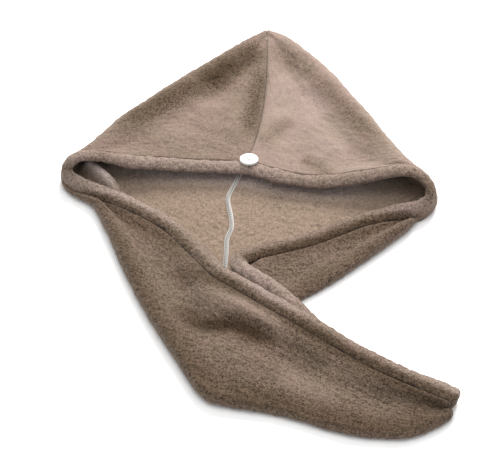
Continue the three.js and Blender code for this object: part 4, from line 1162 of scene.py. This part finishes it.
def button_place(points):
    """Points of the lying button, moved to the nape: it leans on the hem's crown in front and on the cloth
    behind, so it is tipped about X by the slope between them."""
    nape = hem_centre(LEFT, NAPE)[0]
    crown = nape[2] + sizes().hem_thickness * 500 + 2 * PIECE_GAP
    cloth = nape[2] + WALL / 2 + 2 * PIECE_GAP
    slope = (crown - cloth) / (BUTTON_ABOVE_HEM + BUTTON_RADIUS)
    tip = -math.atan(slope)
    x, y, z = np.moveaxis(np.asarray(points, float), -1, 0)
    centre = crown - slope * BUTTON_ABOVE_HEM + BUTTON_THICKNESS / 2
    return np.stack([x, nape[1] + BUTTON_ABOVE_HEM + y * math.cos(tip) - z * math.sin(tip),
                     centre + y * math.sin(tip) + z * math.cos(tip)], -1)


class TURBAN_OT_button(bpy.types.Operator):
    """Adds the white resin button at the nape, with the thread crossed through its four holes."""
    bl_idname = "turban.button"
    bl_label = "Nape button"

    def execute(self, context):
        half = BUTTON_THICKNESS / 2
        turn = 2 * np.pi * np.arange(BUTTON_AROUND) / BUTTON_AROUND
        bead_start = BUTTON_RADIUS - RIM_BEAD
        out = np.concatenate([np.linspace(AXIS_GAP, DISH_EDGE[0], 60), np.linspace(DISH_END, bead_start, 16)])
        bead = np.linspace(0, np.pi / 2, 12)[1:]
        radius = np.concatenate([out, bead_start + RIM_BEAD * np.sin(bead)])
        height = np.concatenate([half - DISH_DEPTH * (1 - smooth(out, *DISH_EDGE)),
                                 half - RIM_BEAD * (1 - np.cos(bead))])
        x, y = radius[:, None] * np.cos(turn), radius[:, None] * np.sin(turn)
        top = np.stack([x, y, np.repeat(height[:, None], BUTTON_AROUND, 1)], -1)
        for hole in ((-HOLE_REACH, 0), (HOLE_REACH, 0), (0, -HOLE_REACH), (0, HOLE_REACH)):
            gap = np.hypot(x - hole[0], y - hole[1])
            top[..., 2] -= HOLE_DEPTH * (1 - smooth(gap, *HOLE_EDGE))
        under = np.stack([UNDER_RADII[:, None] * np.cos(turn), UNDER_RADII[:, None] * np.sin(turn),
                          np.repeat((UNDER_ROUNDING - half)[:, None], BUTTON_AROUND, 1)], -1)
        grid = np.concatenate([top, under])
        points = button_place(grid.reshape(-1, 3))
        colour = colours()
        disc = add_piece("button_disc", points, outward(points, tube_faces(*grid.shape[:2])),
                         button_material("white_resin", list(colour.button)))
        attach(disc, "root")
        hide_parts("button")

        angle = 2 * np.pi * np.arange(CROSS_SIDES) / CROSS_SIDES
        outline = CROSS_THREAD * np.stack([np.cos(angle), np.sin(angle)], -1)
        floor = half - DISH_DEPTH
        share = np.linspace(-1, 1, CROSS_STEPS)
        over = HOLE_REACH * share
        points, faces = [], []
        for across, along, rise in (((1, 0), (0, 1), CROSS_RISES[0]), ((0, 1), (1, 0), CROSS_RISES[1])):
            lift = (floor + rise + CROSS_BOW * np.sqrt(np.clip(1 - share**2, 0, 1))
                    - CROSS_DROP * smooth(np.abs(share), *DROP_STARTS))
            for lane in CROSS_LANES:
                line = np.stack([across[0] * over + along[0] * lane,
                                 across[1] * over + along[1] * lane, lift], -1)
                ring = carried(line, NEARLY_UP, outline)
                faces.append(tube_faces(CROSS_STEPS, CROSS_SIDES, sum(len(part) for part in points)))
                points.append(ring.reshape(-1, 3))
        points = button_place(np.concatenate(points))
        cross = add_piece("button_thread_cross", points, outward(points, np.concatenate(faces)),
                          thread_material("button_thread_spun", list(colour.thread)))
        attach(cross, "root")
        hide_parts("button_thread")
        return {"FINISHED"}


class TURBAN_OT_cloth_facts(bpy.types.Operator):
    """Does nothing and finishes: it states no width, length or area of a panel."""
    bl_idname = "turban.cloth_facts"
    bl_label = "Cloth facts"

    def execute(self, context):
        return {"FINISHED"}


# Stage: half the floor's side in metres, the sky's strength, and each lamp's name, place, power in watts,
# size and tint
FLOOR_REACH = 3.0
SKY_STRENGTH = 0.66
LAMPS = (("back_softbox", (0.5, 2.0, 1.5), 108.0, 1.2, (1.0, 0.99, 0.97)),
         ("top_softbox", (0.1, 0.2, 2.4), 31.0, 2.0, (1.0, 1.0, 1.0)))

# Camera, in mm: its sensor, and the distance at which its view has this width
SENSOR_WIDTH = 36.0
VIEW_DISTANCE = 1600
VIEW_WIDTH = 498


class TURBAN_OT_stage(bpy.types.Operator):
    """Adds the pale floor, the soft studio light and the camera."""
    bl_idname = "turban.stage"
    bl_label = "Stage"

    def execute(self, context):
        scene = context.scene
        mesh = bpy.data.meshes.new("floor")
        corners = [(x * FLOOR_REACH, y * FLOOR_REACH, 0) for x, y in ((-1, -1), (1, -1), (1, 1), (-1, 1))]
        mesh.from_pydata(corners, [], [(0, 1, 2, 3)])
        floor = bpy.data.objects.new("floor", mesh)
        scene.collection.objects.link(floor)
        material, tree = new_material("pale_floor")
        finish_material(tree, {"Base Color": (0.93, 0.93, 0.93, 1), "Roughness": 0.9})
        mesh.materials.append(material)

        world = bpy.data.worlds.new("studio")
        world.use_nodes = True
        world.node_tree.nodes["Background"].inputs["Color"].default_value = (1.0, 1.0, 1.0, 1)
        world.node_tree.nodes["Background"].inputs["Strength"].default_value = SKY_STRENGTH
        scene.world = world
        scene.view_settings.view_transform = "Standard"

        for name, place, power, size, tint in LAMPS:
            light = bpy.data.lights.new(name, "AREA")
            light.energy, light.size, light.color = power, size, tint
            lamp = bpy.data.objects.new(name, light)
            lamp.location = place
            lamp.rotation_mode = "QUATERNION"
            lamp.rotation_quaternion = (-Vector(place)).to_track_quat("-Z", "Y")
            scene.collection.objects.link(lamp)

        s = sizes()
        camera = bpy.data.cameras.new("camera")
        camera.sensor_width = SENSOR_WIDTH
        camera.lens = SENSOR_WIDTH * VIEW_DISTANCE / VIEW_WIDTH
        eye = bpy.data.objects.new("camera", camera)
        back = Vector((0, -math.cos(s.camera_elevation), math.sin(s.camera_elevation)))
        eye.location = Vector(s.shift) + back * s.camera_distance
        eye.rotation_mode = "QUATERNION"
        eye.rotation_quaternion = (-back).to_track_quat("-Z", "Y")
        scene.collection.objects.link(eye)
        scene.camera = eye
        return {"FINISHED"}


class TURBAN_PT_sidebar(bpy.types.Panel):
    """Lists the towel's sizes, colours and pieces."""
    bl_idname = "TURBAN_PT_sidebar"
    bl_label = "Turban towel"
    bl_space_type = "VIEW_3D"
    bl_region_type = "UI"
    bl_category = "Turban towel"

    def draw(self, context):
        for group in (context.scene.towel_sizes, context.scene.towel_colours):
            for key in group.__annotations__:
                self.layout.prop(group, key)
        for operator in OPERATORS:
            self.layout.operator(operator.bl_idname)


OPERATORS = (TURBAN_OT_left_panel, TURBAN_OT_right_panel, TURBAN_OT_rim_hems, TURBAN_OT_crown_seam,
             TURBAN_OT_button, TURBAN_OT_stage, TURBAN_OT_cloth_facts)
CLASSES = (TowelSizes, TowelColours, *OPERATORS, TURBAN_PT_sidebar)


def register():
    """Registers the classes and gives the scene its sizes and colours."""
    for one in CLASSES:
        bpy.utils.register_class(one)
    bpy.types.Scene.towel_sizes = bpy.props.PointerProperty(type=TowelSizes)
    bpy.types.Scene.towel_colours = bpy.props.PointerProperty(type=TowelColours)


def unregister():
    """Takes the sizes, the colours and the classes away again."""
    del bpy.types.Scene.towel_colours
    del bpy.types.Scene.towel_sizes
    for one in reversed(CLASSES):
        bpy.utils.unregister_class(one)


def main():
    """Makes every piece and the stage."""
    register()
    bpy.ops.turban.left_panel()
    bpy.ops.turban.right_panel()
    bpy.ops.turban.rim_hems()
    bpy.ops.turban.crown_seam()
    bpy.ops.turban.button()
    bpy.ops.turban.stage()
    bpy.ops.turban.cloth_facts()
    bpy.context.view_layer.update()


if __name__ == "__main__":
    main()
